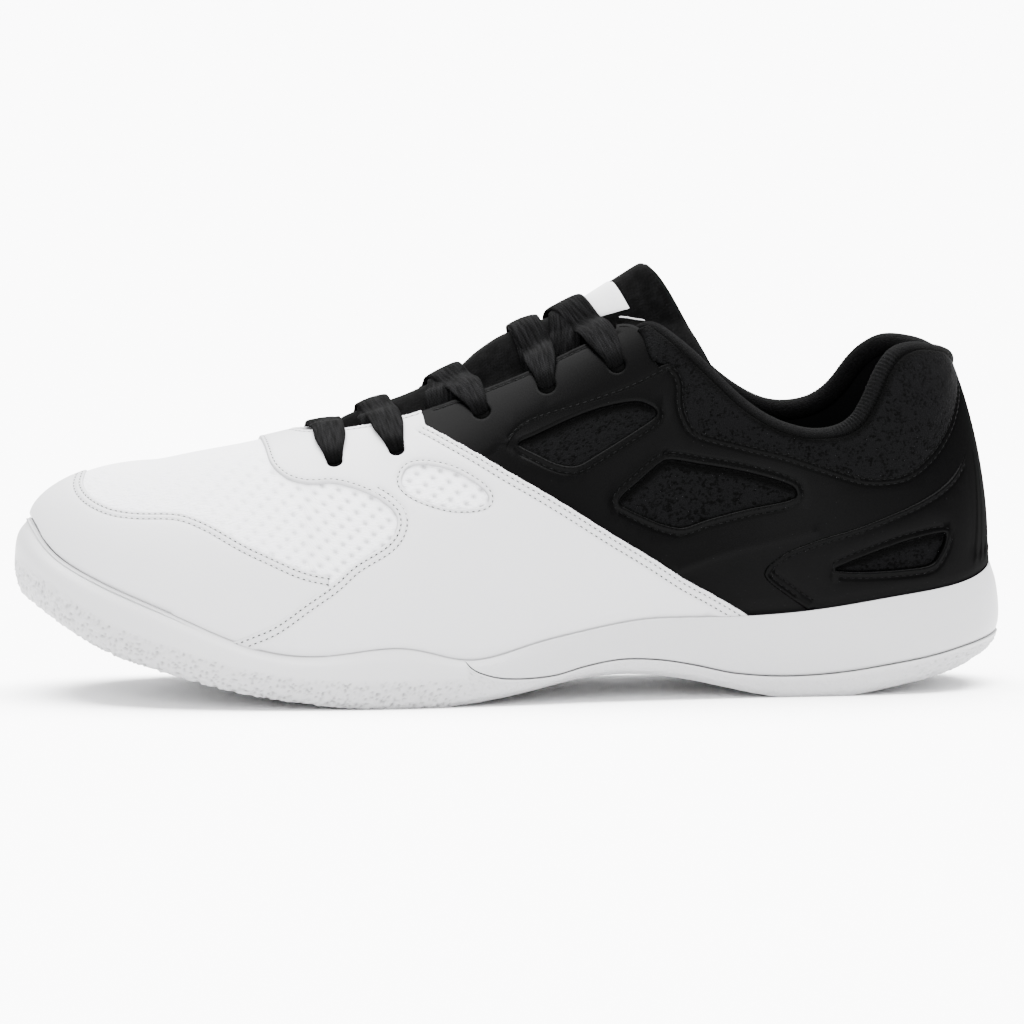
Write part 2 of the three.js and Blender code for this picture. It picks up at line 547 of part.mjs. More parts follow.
// An oval with a long axis tilted in the side view: half its axes are shares of the length and the collar height.
function oval({ at, up, long, short, tilt }) {
  const curve = new THREE.EllipseCurve(
    xOf(at), up * collarHeight, long * shoeLength, short * collarHeight, 0, 2 * Math.PI, false, tilt);
  return curve.getPoints(12).slice(0, -1);
}
const vampWindow = oval({ at: 0.4195, up: 0.602, long: 0.0451, short: 0.0549, tilt: -0.33 });
const instepWindow = sideOutline([
  [0.497, 0.721], [0.513, 0.741], [0.546, 0.781], [0.579, 0.814], [0.611, 0.831], [0.630, 0.822], [0.629, 0.784],
  [0.597, 0.729], [0.570, 0.683], [0.548, 0.656], [0.528, 0.668], [0.512, 0.690],
], collarHeight);
const quarterWindow = sideOutline([
  [0.594, 0.558], [0.620, 0.612], [0.640, 0.655], [0.656, 0.668], [0.700, 0.645], [0.750, 0.612], [0.769, 0.592],
  [0.765, 0.572], [0.720, 0.528], [0.670, 0.490], [0.646, 0.486], [0.615, 0.520],
], collarHeight);
const counterWindow = sideOutline([
  [0.815, 0.358], [0.830, 0.385], [0.870, 0.418], [0.918, 0.452], [0.925, 0.440], [0.921, 0.396], [0.908, 0.368],
  [0.860, 0.352],
], collarHeight);
const whiteGap = sideBlock(grown(vampOutline, meetGap));
const counterGap = sideBlock(grown(counterOutline, meetGap));
const eyestayGap = sideBlock(grown(eyestayOutline, meetGap));
const vampOverlay = layer.intersect(sideBlock(vampOutline)).subtract(sideBlock(vampWindow));
const toeGuard = layer.intersect(sideBlock(toeOutline)).subtract(whiteGap);
const heelCounter = layer.intersect(sideBlock(counterOutline)).subtract(sideBlock(counterWindow));
const halfOf = (side) => (side < 0 ? [-ballWidth, 0] : [0, ballWidth]);
const eyestayOf = (side) => layer.intersect(sideBlock(eyestayOutline, ...halfOf(side))).subtract(whiteGap);
const quarterOf = (side) => layer
  .intersect(sideBlock(quarterOutline, ...halfOf(side)))
  .subtract(whiteGap)
  .subtract(counterGap)
  .subtract(eyestayGap)
  .subtract(sideBlock(instepWindow))
  .subtract(sideBlock(quarterWindow));

// The tongue, from under the vamp to its free top: lift is how far its middle stands over the ridge, and slant
// how far its sides run back, both as shares of the length.
const tongueRows = [
  { at: 0.262, lift: -0.0125, slant: 0.000, side: 0.10 },
  { at: 0.297, lift: -0.0100, slant: 0.000, side: 0.14 },
  { at: 0.335, lift: 0.0030,  slant: 0.000, side: 0.20 },
  { at: 0.400, lift: 0.0030,  slant: 0.000, side: 0.24 },
  { at: 0.445, lift: 0.0055,  slant: 0.003, side: 0.27 },
  { at: 0.472, lift: 0.0150,  slant: 0.005, side: 0.28 },
  { at: 0.500, lift: 0.0200,  slant: 0.010, side: 0.30 },
  { at: 0.555, lift: 0.0165,  slant: 0.020, side: 0.33 },
  { at: 0.605, lift: 0.0240,  slant: 0.038, side: 0.42 },
  { at: 0.636, lift: 0.0290,  slant: 0.049, side: 0.46 },
  { at: 0.648, lift: 0.0300,  slant: 0.053, side: 0.47 },
];
// How soon the tongue's sides start to run back: 1 is at once, and more is later.
const tongueSweep = 1.4;
const tongueLift = column(tongueRows, 'lift');
const tongueSlant = column(tongueRows, 'slant');
const tongueSide = column(tongueRows, 'side');
// How far in the tongue's sides lie, behind the wall and the roll.
const behindWall = (t) => -(Math.max(upperWall, upperWall / 2 + rollDepth * rollSize(t)) + 5 * meetGap);
// How far the tongue's outer face lies from the form at a place and share, when its row is at.
function tongueOffset(at, t, v) {
  const away = THREE.MathUtils.clamp((1 - v) / Math.max(1 - edgeShare(t), 0.02), 0, 1);
  return THREE.MathUtils.lerp(tongueLift(at) * shoeLength, behindWall(t), fade(0.1, 0.7, away));
}
function tongueSolid() {
  const steps = 14;
  const across = 10;
  const first = tongueRows[0].at;
  const last = tongueRows.at(-1).at;
  const faces = [[], []];
  for (let i = 0; i <= steps; i++) {
    const at = THREE.MathUtils.lerp(first, last, i / steps);
    const rows = [[], []];
    for (let j = 0; j <= across; j++) {
      const c = j / across * 2 - 1;
      const t = ridgePlace(at + tongueSlant(at) * Math.abs(c) ** tongueSweep, c < 0 ? -1 : 1);
      const v = 1 - tongueSide(at) * Math.abs(c);
      const offset = tongueOffset(at, t, v);
      const full = fade(1, 0.55, Math.abs(c)) * fade(first, 0.42, at);
      const wall = THREE.MathUtils.lerp(tongueEdgeWall, tongueWall, full);
      rows[0].push(formPoint(t, v, offset));
      rows[1].push(formPoint(t, v, offset - wall));
    }
    faces[0].push(rows[0]);
    faces[1].push(rows[1]);
  }
  const triangles = [];
  const [outer, inner] = faces;
  for (let i = 0; i < steps; i++) {
    for (let j = 0; j < across; j++) {
      quad(triangles, outer[i][j], outer[i + 1][j], outer[i + 1][j + 1], outer[i][j + 1]);
      quad(triangles, inner[i][j], inner[i][j + 1], inner[i + 1][j + 1], inner[i + 1][j]);
    }
    quad(triangles, outer[i][0], inner[i][0], inner[i + 1][0], outer[i + 1][0]);
    quad(triangles, outer[i][across], outer[i + 1][across], inner[i + 1][across], inner[i][across]);
  }
  for (let j = 0; j < across; j++) {
    quad(triangles, outer[0][j], outer[0][j + 1], inner[0][j + 1], inner[0][j]);
    quad(triangles, outer[steps][j], inner[steps][j], inner[steps][j + 1], outer[steps][j + 1]);
  }
  return weld(triangles);
}

// A closed tube or ribbon through frames, each a loop of points.
function sweep(loops) {
  const triangles = [];
  const count = loops[0].length;
  for (let i = 0; i + 1 < loops.length; i++) {
    for (let j = 0; j < count; j++) {
      const next = (j + 1) % count;
      quad(triangles, loops[i][j], loops[i][next], loops[i + 1][next], loops[i + 1][j]);
    }
  }
  for (let j = 1; j + 1 < count; j++) {
    triangles.push(loops[0][0], loops[0][j + 1], loops[0][j]);
    triangles.push(loops.at(-1)[0], loops.at(-1)[j], loops.at(-1)[j + 1]);
  }
  return weld(triangles);
}
const rollSides = 7;
function collarRollSolid() {
  const places = wallPlaces.filter((t) => edgeShare(t) < 1 && rollSize(t) > 1.6);
  return sweep(places.map((t) => {
    const size = rollSize(t);
    const edge = edgeShare(t);
    const middle = formPoint(t, shareBelow(t, edge, size / 2), -upperWall / 2);
    const up = formPlain(t, edge).sub(formPlain(t, edge - 0.05)).normalize();
    const out = formNormal(t, shareBelow(t, edge, size / 2));
    return Array.from({ length: rollSides }, (_, j) => {
      const turn = (j + 0.5) / rollSides * 2 * Math.PI;
      return middle.clone()
        .addScaledVector(up, Math.sin(turn) * size / 2)
        .addScaledVector(out, Math.cos(turn) * size * rollDepth);
    });
  }));
}

// A strand of lace from an eyelet of one side, over the tongue, towards the other side.
const laceSteps = 7;
const laceGap = 1.7;
const overLayer = 3.5 * meetGap + overlayWall;
function laceHeight(t, v) {
  const edge = edgeShare(t);
  const spots = [-1, -0.5, 0, 0.5, 1].map((part) => t + part * laceWidth / 2);
  const under = spots.map((spot) => tongueOffset(topX(spot) / shoeLength + 0.5, spot, v));
  const overTongue = Math.max(...under) + laceGap;
  const away = (1 - v) / Math.max(1 - edge, 0.02);
  return Math.max(overTongue, overLayer * fade(0.35, 0.9, away));
}
function laceStrand(side, from, to, reachShare) {
  const frames = [];
  for (let i = 0; i <= laceSteps; i++) {
    const s = i / laceSteps * reachShare;
    const across = s * 2;
    const near = across <= 1;
    const rise = near ? across : 2 - across;
    const foot = near ? from : to;
    const t = THREE.MathUtils.lerp(foot.t, (from.t + to.t) / 2, rise);
    const v = THREE.MathUtils.lerp(foot.v, 1, rise);
    const place = onSide(t, near ? side : -side);
    frames.push({
      point: formPoint(place, v, laceHeight(place, v) + laceWall / 2),
      up: formNormal(place, v),
    });
  }
  return sweep(frames.map(({ point, up }, i) => {
    const before = frames[Math.max(0, i - 1)].point;
    const after = frames[Math.min(laceSteps, i + 1)].point;
    const along = after.clone().sub(before).normalize();
    const wide = along.clone().cross(up).normalize();
    const high = wide.clone().cross(along).normalize();
    const narrow = i === 0 ? 0.62 : 1;
    return [[-1, -1], [1, -1], [1, 1], [-1, 1]].map(([w, h]) => point.clone()
      .addScaledVector(wide, w * narrow * laceWidth / 2)
      .addScaledVector(high, h * laceWall / 2));
  }));
}
function laceRow(index) {
  const from = eyelets[index];
  if (index === 0) return laceStrand(-1, from, from, 1);
  const back = eyelets[index - 1];
  const lean = eyeletRows[index].lean;
  const to = { t: THREE.MathUtils.lerp(from.t, back.t, lean), v: THREE.MathUtils.lerp(from.v, back.v, lean) };
  const strands = sides.map((side) => toManifold(laceStrand(side, from, to, 0.68)));
  return fromManifold(strands[0].add(strands[1]));
}

// Colours of the finished parts.
const finishes = {
  rubber: { color: 0xdcdcdc, roughness: 0.72 },
  foam: { color: 0xe2e2e3, roughness: 0.6 },
  whiteLeather: { color: 0xe9e9eb, roughness: 0.45 },
  whiteMesh: { color: 0xe6e7ea, roughness: 0.8 },
  blackLeather: { color: 0x17181a, roughness: 0.42 },
  blackMesh: { color: 0x121213, roughness: 0.85 },
  blackWeave: { color: 0x151516, roughness: 0.9 },
  lining: { color: 0x101011, roughness: 0.95 },
};
const group = new THREE.Group();
function add(name, shape, finish) {
  const geometry = shape.isBufferGeometry ? shape : fromManifold(shape);
  const mesh = new THREE.Mesh(geometry, new THREE.MeshStandardMaterial({ ...finishes[finish], metalness: 0 }));
  mesh.name = name;
  group.add(mesh);
}
add('outsole', outsole, 'rubber');
add('midsole', midsole, 'foam');
add('insole', insoleSolid(), 'lining');
add('upper', upper, 'whiteMesh');
add('tongue', tongueSolid(), 'blackWeave');
add('toe_guard', toeGuard, 'whiteLeather');
add('vamp_overlay', vampOverlay, 'whiteLeather');
add('heel_counter', heelCounter, 'blackLeather');
for (const side of sides) {
  const name = side < 0 ? 'lateral' : 'medial';
  add(`eyestay_${name}`, eyestayOf(side), 'blackLeather');
  add(`quarter_${name}`, quarterOf(side), 'blackLeather');
}
add('collar_roll', collarRollSolid(), 'blackWeave');
eyeletRows.forEach((_, index) => add(`lace_${index + 1}`, laceRow(index), 'blackWeave'));

// The frame: the middle of the whole object over the origin, and the ground at zero.
const box = new THREE.Box3().setFromObject(group);
group.position.set(-(box.min.x + box.max.x) / 2, -(box.min.y + box.max.y) / 2, -box.min.z);

export default group;
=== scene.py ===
"""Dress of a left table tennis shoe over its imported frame: forms, overlays, stitching, laces and finishes.

Lengths are metres in the frame of the part: +X from toe to heel, +Y to the inner side of the foot, +Z up.
A place on the last is (along, rise): along runs from 0 at the toe tip to 1 at the heel back on the outer
side and from 0 to -1 on the inner side, and rise runs from 0 at the foot line to 1 on the ridge.
"""
from __future__ import annotations

import logging
import math
from collections.abc import Callable
from dataclasses import dataclass, field
from enum import Enum

import bpy
import numpy as np
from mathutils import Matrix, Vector
from mathutils.geometry import delaunay_2d_cdt
from mathutils.kdtree import KDTree


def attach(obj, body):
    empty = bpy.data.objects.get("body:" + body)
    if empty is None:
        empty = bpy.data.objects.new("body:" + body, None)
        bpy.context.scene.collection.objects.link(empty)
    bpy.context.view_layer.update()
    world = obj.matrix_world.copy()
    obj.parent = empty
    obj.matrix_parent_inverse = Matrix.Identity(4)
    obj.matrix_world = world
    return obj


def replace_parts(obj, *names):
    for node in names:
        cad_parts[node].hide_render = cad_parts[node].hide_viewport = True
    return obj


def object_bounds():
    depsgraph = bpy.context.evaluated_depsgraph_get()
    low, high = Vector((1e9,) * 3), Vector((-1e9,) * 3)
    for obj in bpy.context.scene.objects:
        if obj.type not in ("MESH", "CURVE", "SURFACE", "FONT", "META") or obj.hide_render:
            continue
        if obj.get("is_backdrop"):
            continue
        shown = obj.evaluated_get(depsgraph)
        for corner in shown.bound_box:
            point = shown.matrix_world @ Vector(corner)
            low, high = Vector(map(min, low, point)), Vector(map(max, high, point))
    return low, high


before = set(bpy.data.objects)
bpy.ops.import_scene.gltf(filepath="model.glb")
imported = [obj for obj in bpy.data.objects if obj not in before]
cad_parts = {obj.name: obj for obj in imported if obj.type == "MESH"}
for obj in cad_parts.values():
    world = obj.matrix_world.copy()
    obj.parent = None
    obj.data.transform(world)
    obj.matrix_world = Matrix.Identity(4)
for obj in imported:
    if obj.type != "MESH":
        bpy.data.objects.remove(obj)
CAD_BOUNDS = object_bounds()

LOG = logging.getLogger("shoe")
BODY = "root"
MM = 0.001


class Side(Enum):
    """The two sides of the shoe."""

    OUTER = 1.0
    INNER = -1.0


@dataclass(frozen=True)
class Section:
    """One section of the last and its sole, with its lengths as shares of the form's sizes."""

    name: str
    at: float
    outer: float
    inner: float
    rim_up: float
    flare: float
    wall_up: float
    reach: float
    shoulder_up: float
    top_at: float
    top_up: float
    ground_up: float
    belly_up: float
    floor_up: float
    lip: float
    tuck: float


SECTIONS = (
    Section("toe tip", 0.018, -0.058, 0.058, 1.417, 0.00, 0.560, 0.57, 0.640, 0.118, 0.657, 0.722, 1.111,
            0.944, 0.050, 0.068),
    Section("toe corner", 0.029, 0.083, 0.189, 1.241, 0.00, 0.530, 0.57, 0.640, 0.121, 0.658, 0.655, 1.040,
            0.860, 0.047, 0.063),
    Section("toe side", 0.052, 0.204, 0.282, 1.082, 0.01, 0.500, 0.58, 0.642, 0.130, 0.660, 0.545, 0.900,
            0.750, 0.045, 0.050),
    Section("little toe", 0.090, 0.306, 0.359, 0.929, 0.02, 0.465, 0.58, 0.648, 0.150, 0.664, 0.400, 0.690,
            0.590, 0.042, 0.040),
    Section("toes", 0.146, 0.388, 0.413, 0.737, 0.03, 0.430, 0.56, 0.665, 0.180, 0.681, 0.262, 0.510,
            0.430, 0.042, 0.032),
    Section("fore ball", 0.215, 0.442, 0.442, 0.504, 0.04, 0.400, 0.53, 0.692, 0.228, 0.705, 0.125, 0.340,
            0.300, 0.043, 0.026),
    Section("ball", 0.295, 0.466, 0.451, 0.419, 0.04, 0.390, 0.52, 0.740, 0.296, 0.748, 0.030, 0.250,
            0.255, 0.045, 0.022),
    Section("throat", 0.375, 0.466, 0.432, 0.462, 0.04, 0.420, 0.50, 0.808, 0.375, 0.815, -0.015, 0.240,
            0.240, 0.045, 0.022),
    Section("fore waist", 0.434, 0.448, 0.398, 0.363, 0.03, 0.450, 0.50, 0.878, 0.434, 0.882, 0.022, 0.240,
            0.235, 0.041, 0.029),
    Section("waist", 0.497, 0.423, 0.359, 0.468, 0.02, 0.500, 0.52, 0.958, 0.497, 0.955, 0.102, 0.300,
            0.320, 0.037, 0.039),
    Section("instep", 0.556, 0.393, 0.330, 0.572, 0.01, 0.560, 0.55, 1.036, 0.556, 1.030, 0.192, 0.375,
            0.417, 0.034, 0.049),
    Section("upper instep", 0.615, 0.369, 0.311, 0.646, 0.00, 0.620, 0.60, 1.110, 0.615, 1.100, 0.205,
            0.390, 0.486, 0.034, 0.049),
    Section("ankle front", 0.670, 0.350, 0.300, 0.652, 0.00, 0.640, 0.68, 1.165, 0.665, 1.160, 0.142,
            0.360, 0.505, 0.033, 0.039),
    Section("ankle", 0.735, 0.332, 0.299, 0.657, 0.02, 0.620, 0.78, 1.200, 0.715, 1.200, 0.026, 0.320,
            0.514, 0.034, 0.025),
    Section("heel side", 0.803, 0.324, 0.301, 0.703, 0.04, 0.600, 0.84, 1.220, 0.760, 1.220, -0.015, 0.333,
            0.528, 0.036, 0.023),
    Section("heel quarter", 0.872, 0.303, 0.291, 0.782, 0.05, 0.600, 0.84, 1.230, 0.795, 1.230, 0.062,
            0.390, 0.542, 0.039, 0.034),
    Section("heel bend", 0.936, 0.243, 0.240, 0.856, 0.05, 0.600, 0.80, 1.235, 0.818, 1.235, 0.163, 0.470,
            0.556, 0.041, 0.049),
    Section("heel corner", 0.972, 0.136, 0.136, 0.935, 0.05, 0.600, 0.76, 1.238, 0.828, 1.238, 0.245,
            0.560, 0.570, 0.041, 0.066),
    Section("heel back", 0.9855, 0.0, 0.0, 0.992, 0.05, 0.600, 0.74, 1.240, 0.830, 1.240, 0.283, 0.620,
            0.583, 0.043, 0.078),
)

# The opening: half its width across the throat as a share of the ball width, by the share of the length.
THROAT = ((0.281, 0.0), (0.290, 0.050), (0.310, 0.088), (0.345, 0.122), (0.400, 0.140), (0.500, 0.146),
          (0.570, 0.136), (0.640, 0.136))
# The collar's rim: share of the length, then its height on the outer and the inner side as shares of the
# collar's height.
COLLAR = ((0.596, 1.105, 1.110), (0.625, 1.072, 1.082), (0.648, 1.030, 1.045), (0.670, 0.977, 1.000),
          (0.694, 0.908, 0.942), (0.718, 0.845, 0.882), (0.743, 0.798, 0.832), (0.768, 0.770, 0.798),
          (0.793, 0.758, 0.786), (0.820, 0.770, 0.797), (0.840, 0.808, 0.828), (0.854, 0.872, 0.872),
          (0.864, 0.930, 0.916), (0.877, 0.978, 0.956), (0.895, 0.994, 0.982), (0.925, 0.982, 0.974),
          (0.945, 0.962, 0.958), (0.960, 0.942, 0.942))
# The line between outsole and midsole: share of the length and of the sole height.
MIDSOLE_LINE = ((0.424, 0.480), (0.435, 0.330), (0.450, 0.262), (0.475, 0.222), (0.520, 0.232),
                (0.555, 0.300), (0.590, 0.345), (0.628, 0.335), (0.665, 0.285), (0.705, 0.212),
                (0.745, 0.180), (0.785, 0.180), (0.825, 0.205), (0.870, 0.255), (0.910, 0.305),
                (0.950, 0.372), (1.020, 0.480))


def smooth_column(rows: tuple[tuple[float, ...], ...],
                  column: int) -> Callable[[np.ndarray], np.ndarray]:
    """Makes a smooth function of the first column of a table.

    Args:
        rows: the table, its first column rising.
        column: which column the function gives.

    Returns:
        A function from an array of first-column values to an array of values.
    """
    xs = np.array([row[0] for row in rows])
    ys = np.array([row[column] for row in rows])
    slopes = np.array([(ys[min(len(xs) - 1, i + 1)] - ys[max(0, i - 1)])
                       / (xs[min(len(xs) - 1, i + 1)] - xs[max(0, i - 1)]) for i in range(len(xs))])

    def curve(at: np.ndarray) -> np.ndarray:
        """Gives the value at each place.

        Args:
            at: the places.

        Returns:
            The values.
        """
        at = np.asarray(at, float)
        i = np.clip(np.searchsorted(xs, at) - 1, 0, len(xs) - 2)
        width = xs[i + 1] - xs[i]
        s = np.clip((at - xs[i]) / width, 0.0, 1.0)
        rise = ys[i + 1] - ys[i]
        bow = s * (1 - s) * ((slopes[i] * width - rise) * (1 - s) - (slopes[i + 1] * width - rise) * s)
        return ys[i] + rise * s + bow

    return curve


def smooth_step(value: np.ndarray, low: float, high: float) -> np.ndarray:
    """Fades from 0 at low to 1 at high, also where low is the larger."""
    s = np.clip((np.asarray(value, float) - low) / (high - low), 0.0, 1.0)
    return s * s * (3 - 2 * s)


def quarter_round(value: np.ndarray) -> np.ndarray:
    """Rises from 0 to 1 over 0 to 1 like a quarter of a circle."""
    return np.sqrt(np.clip(1 - (1 - np.clip(value, 0, 1)) ** 2, 0, 1))


def unit(vectors: np.ndarray) -> np.ndarray:
    """Scales vectors to a length of one."""
    return vectors / np.maximum(np.linalg.norm(vectors, axis=-1, keepdims=True), 1e-12)


def way_along(points: np.ndarray) -> np.ndarray:
    """Gives how far each point of a line lies from its first."""
    return np.concatenate([[0.0], np.cumsum(np.linalg.norm(np.diff(points, axis=0), axis=1))])


class ClosedSpline:
    """A smooth closed curve through one value a knot."""

    def __init__(self, knots: np.ndarray, values: np.ndarray) -> None:
        """Solves for the curve's bends.

        Args:
            knots: the places of the values and, last, the length of the loop.
            values: one value for each knot but the last.
        """
        self.knots = knots
        self.values = values
        n = len(values)
        widths = np.diff(knots)
        matrix = np.zeros((n, n))
        right = np.zeros(n)
        for i in range(n):
            before, after = widths[i - 1], widths[i]
            matrix[i, (i - 1) % n] += before
            matrix[i, i] += 2 * (before + after)
            matrix[i, (i + 1) % n] += after
            rise = (values[(i + 1) % n] - values[i]) / after - (values[i] - values[i - 1]) / before
            right[i] = 6 * rise
        self.bends = np.linalg.solve(matrix, right)
        self.widths = widths

    def __call__(self, place: np.ndarray) -> np.ndarray:
        """Evaluates the curve.

        Args:
            place: places along the loop, of any shape.

        Returns:
            The values there.
        """
        t = np.mod(place, self.knots[-1])
        n = len(self.values)
        i = np.clip(np.searchsorted(self.knots, t, side="right") - 1, 0, n - 1)
        j = (i + 1) % n
        w = self.widths[i]
        a = (self.knots[i + 1] - t) / w
        b = 1 - a
        bend = ((a ** 3 - a) * self.bends[i] + (b ** 3 - b) * self.bends[j]) * w * w / 6
        return a * self.values[i] + b * self.values[j] + bend


@dataclass
class Last:
    """The form that the upper and the sole follow."""

    length: float = 0.288
    ball_width: float = 0.103
    collar_height: float = 0.102
    sole_height: float = 0.036
    frame_shift: tuple[float, float] = (-0.00014, 0.00097)
    ridge_start: float = 0.97

    def __post_init__(self) -> None:
        """Works out the rails of the form."""
        last = len(SECTIONS) - 1
        loop = [(row, -1) for row in SECTIONS] + [(row, 1) for row in SECTIONS[1:last][::-1]]
        steps = []
        for a, b in zip(SECTIONS, SECTIONS[1:]):
            onward = (b.at - a.at) * self.length
            sideways = ((b.outer - a.outer) + (b.inner - a.inner)) / 2 * self.ball_width
            steps.append(math.hypot(onward, sideways) + 2 * MM)
        knots = np.concatenate([[0.0], np.cumsum(steps + steps[::-1])])
        self.loop = float(knots[-1])

        def rail(pick: Callable[[Section, int], float]) -> ClosedSpline:
            """Runs a smooth curve through one value of each section."""
            return ClosedSpline(knots, np.array([pick(row, side) for row, side in loop], float))

        self.foot_x = rail(lambda r, s: (r.at - 0.5) * self.length)
        self.foot_y = rail(lambda r, s: (-r.outer if s < 0 else r.inner) * self.ball_width)
        self.rim_z = rail(lambda r, s: r.rim_up * self.sole_height)
        self.flare = rail(lambda r, s: r.flare)
        self.wall_z = rail(lambda r, s: r.wall_up * self.collar_height)
        self.reach = rail(lambda r, s: r.reach)
        self.shoulder_z = rail(lambda r, s: r.shoulder_up * self.collar_height)
        self.top_x = rail(lambda r, s: (r.top_at - 0.5) * self.length)
        self.top_y = rail(lambda r, s: 0.03 * self.ball_width * max(0.0, 1 - r.top_at / 0.6))
        self.top_z = rail(lambda r, s: r.top_up * self.collar_height)
        self.ground_z = rail(lambda r, s: r.ground_up * self.sole_height)
        self.belly_z = rail(lambda r, s: r.belly_up * self.sole_height)
        self.floor_z = rail(lambda r, s: r.floor_up * self.sole_height)
        self.lip = rail(lambda r, s: r.lip * self.ball_width)
        self.tuck = rail(lambda r, s: r.tuck * self.ball_width)
        self.throat_half = smooth_column(THROAT, 1)
        self.collar_up = {-1: smooth_column(COLLAR, 1), 1: smooth_column(COLLAR, 2)}
        self.line_up = smooth_column(MIDSOLE_LINE, 1)
        self._edge_cache: tuple[np.ndarray, np.ndarray] | None = None

    def place(self, along: np.ndarray) -> np.ndarray:
        """Turns a place from toe to heel into one along the loop."""
        return np.asarray(along, float) * self.loop / 2

    def plain(self, t: np.ndarray, v: np.ndarray) -> np.ndarray:
        """Gives points of the form before the shift to the frame.

        Args:
            t: places along the loop.
            v: rises.

        Returns:
            Points, with a last axis of three.
        """
        t, v = np.broadcast_arrays(np.asarray(t, float), np.asarray(v, float))
        fx, fy, tx, ty = self.foot_x(t), self.foot_y(t), self.top_x(t), self.top_y(t)
        flare, reach, w = self.flare(t), self.reach(t), 1 - v
        a, b, c, d = w ** 3, 3 * w * w * v, 3 * w * v * v, v ** 3
        x = a * fx + b * (fx + (fx - tx) * flare) + c * (tx + (fx - tx) * reach) + d * tx
        y = a * fy + b * (fy + (fy - ty) * flare) + c * (ty + (fy - ty) * reach) + d * ty
        z = a * self.rim_z(t) + b * self.wall_z(t) + c * self.shoulder_z(t) + d * self.top_z(t)
        return np.stack([x, y, z], -1)

    def side_normal(self, t: np.ndarray, v: np.ndarray) -> np.ndarray:
        """Gives outward unit normals of one side's surface.

        Args:
            t: places along the loop.
            v: rises.

        Returns:
            Unit vectors.
        """
        around = self.plain(t + 0.5 * MM, v) - self.plain(t - 0.5 * MM, v)
        upward = self.plain(t, v + 0.01) - self.plain(t, np.maximum(0.0, v - 0.01))
        return unit(np.cross(around, upward))

    def normal(self, t: np.ndarray, v: np.ndarray) -> np.ndarray:
        """Gives outward unit normals, turned evenly over the ridge.

        Args:
            t: places along the loop.
            v: rises.

        Returns:
            Unit vectors.
        """
        t, v = np.broadcast_arrays(np.asarray(t, float), np.asarray(v, float))
        here = self.side_normal(t, np.minimum(v, self.ridge_start))
        over = here + self.side_normal(self.loop - t, np.full(v.shape, self.ridge_start))
        over = unit(over)
        s = np.clip((v - self.ridge_start) / (1 - self.ridge_start), 0.0, 1.0)[..., None]
        n = here * (1 - s) + over * s
        # Just under the foot line there is no normal.
        return n / np.linalg.norm(n, axis=-1, keepdims=True)

    def point(self, t: np.ndarray, v: np.ndarray, offset: np.ndarray | float = 0.0) -> np.ndarray:
        """Gives points of the form in the frame."""
        p = self.plain(t, v) + self.normal(t, v) * np.asarray(offset, float)[..., None]
        return p + np.array([*self.frame_shift, 0.0])

    def outward(self, t: np.ndarray) -> np.ndarray:
        """Gives the level outward direction of the foot line.

        Args:
            t: places along the loop.

        Returns:
            Unit vectors level with the floor.
        """
        dx = self.foot_x(t + 0.5 * MM) - self.foot_x(t - 0.5 * MM)
        dy = self.foot_y(t + 0.5 * MM) - self.foot_y(t - 0.5 * MM)
        return unit(np.stack([dy, -dx, np.zeros_like(dx)], -1))

    def foot(self, t: np.ndarray, out: np.ndarray, z: np.ndarray) -> np.ndarray:
        """Gives points beside the foot line in the frame.

        Args:
            t: places along the loop.
            out: how far outward.
            z: heights.

        Returns:
            Points in the frame.
        """
        out, z = np.broadcast_arrays(np.asarray(out, float) + 0 * t, np.asarray(z, float) + 0 * t)[0:2]
        base = np.stack([self.foot_x(t), self.foot_y(t), z], -1)
        return base + self.outward(t) * out[..., None] + np.array([*self.frame_shift, 0.0])

    def is_open(self, t: np.ndarray, v: np.ndarray) -> np.ndarray:
        """Tells where the form is cut away for throat and collar.

        Args:
            t: places along the loop.
            v: rises.

        Returns:
            True where it is open.
        """
        p = self.plain(t, v)
        at = p[..., 0] / self.length + 0.5
        aside = np.abs(p[..., 1] - self.top_y(t)) / self.ball_width
        throat = (at > THROAT[0][0]) & (at < THROAT[-1][0]) & (aside < self.throat_half(at))
        outer = np.mod(t, self.loop) < self.loop / 2
        up = np.where(outer, self.collar_up[-1](at), self.collar_up[1](at)) * self.collar_height
        return throat | ((at > COLLAR[0][0]) & (p[..., 2] > up))

    def edge_share(self, t: np.ndarray) -> np.ndarray:
        """Gives how far the wall goes up at a place.

        Args:
            t: places along the loop.

        Returns:
            The rise of the opening's edge, or 1 where the ridge is closed.
        """
        t = np.mod(np.asarray(t, float), self.loop)
        if self._edge_cache is None:
            grid = np.linspace(0, self.loop, 2881)
            vs = np.linspace(0.3, 1.0, 141)
            opened = self.is_open(grid[:, None], vs[None, :])
            first = np.where(opened.any(1), opened.argmax(1), 0)
            high = np.where(opened.any(1), vs[first], 1.0)
            low = np.where(opened.any(1), vs[np.maximum(first - 1, 0)], 1.0)
            for _ in range(14):
                mid = (low + high) / 2
                hit = self.is_open(grid, mid)
                high = np.where(hit & (high < 1.001), np.where(opened.any(1), mid, high), high)
                low = np.where(~hit & opened.any(1), mid, low)
            self._edge_cache = (grid, np.where(opened.any(1), high, 1.0))
        return np.interp(t, *self._edge_cache)

    def share_below(self, t: np.ndarray, v: np.ndarray, drop: np.ndarray | float) -> np.ndarray:
        """Gives the rise that lies a length below another."""
        slope = np.linalg.norm(self.plain(t, v) - self.plain(t, v - 0.05), axis=-1) / 0.05
        return v - drop / slope

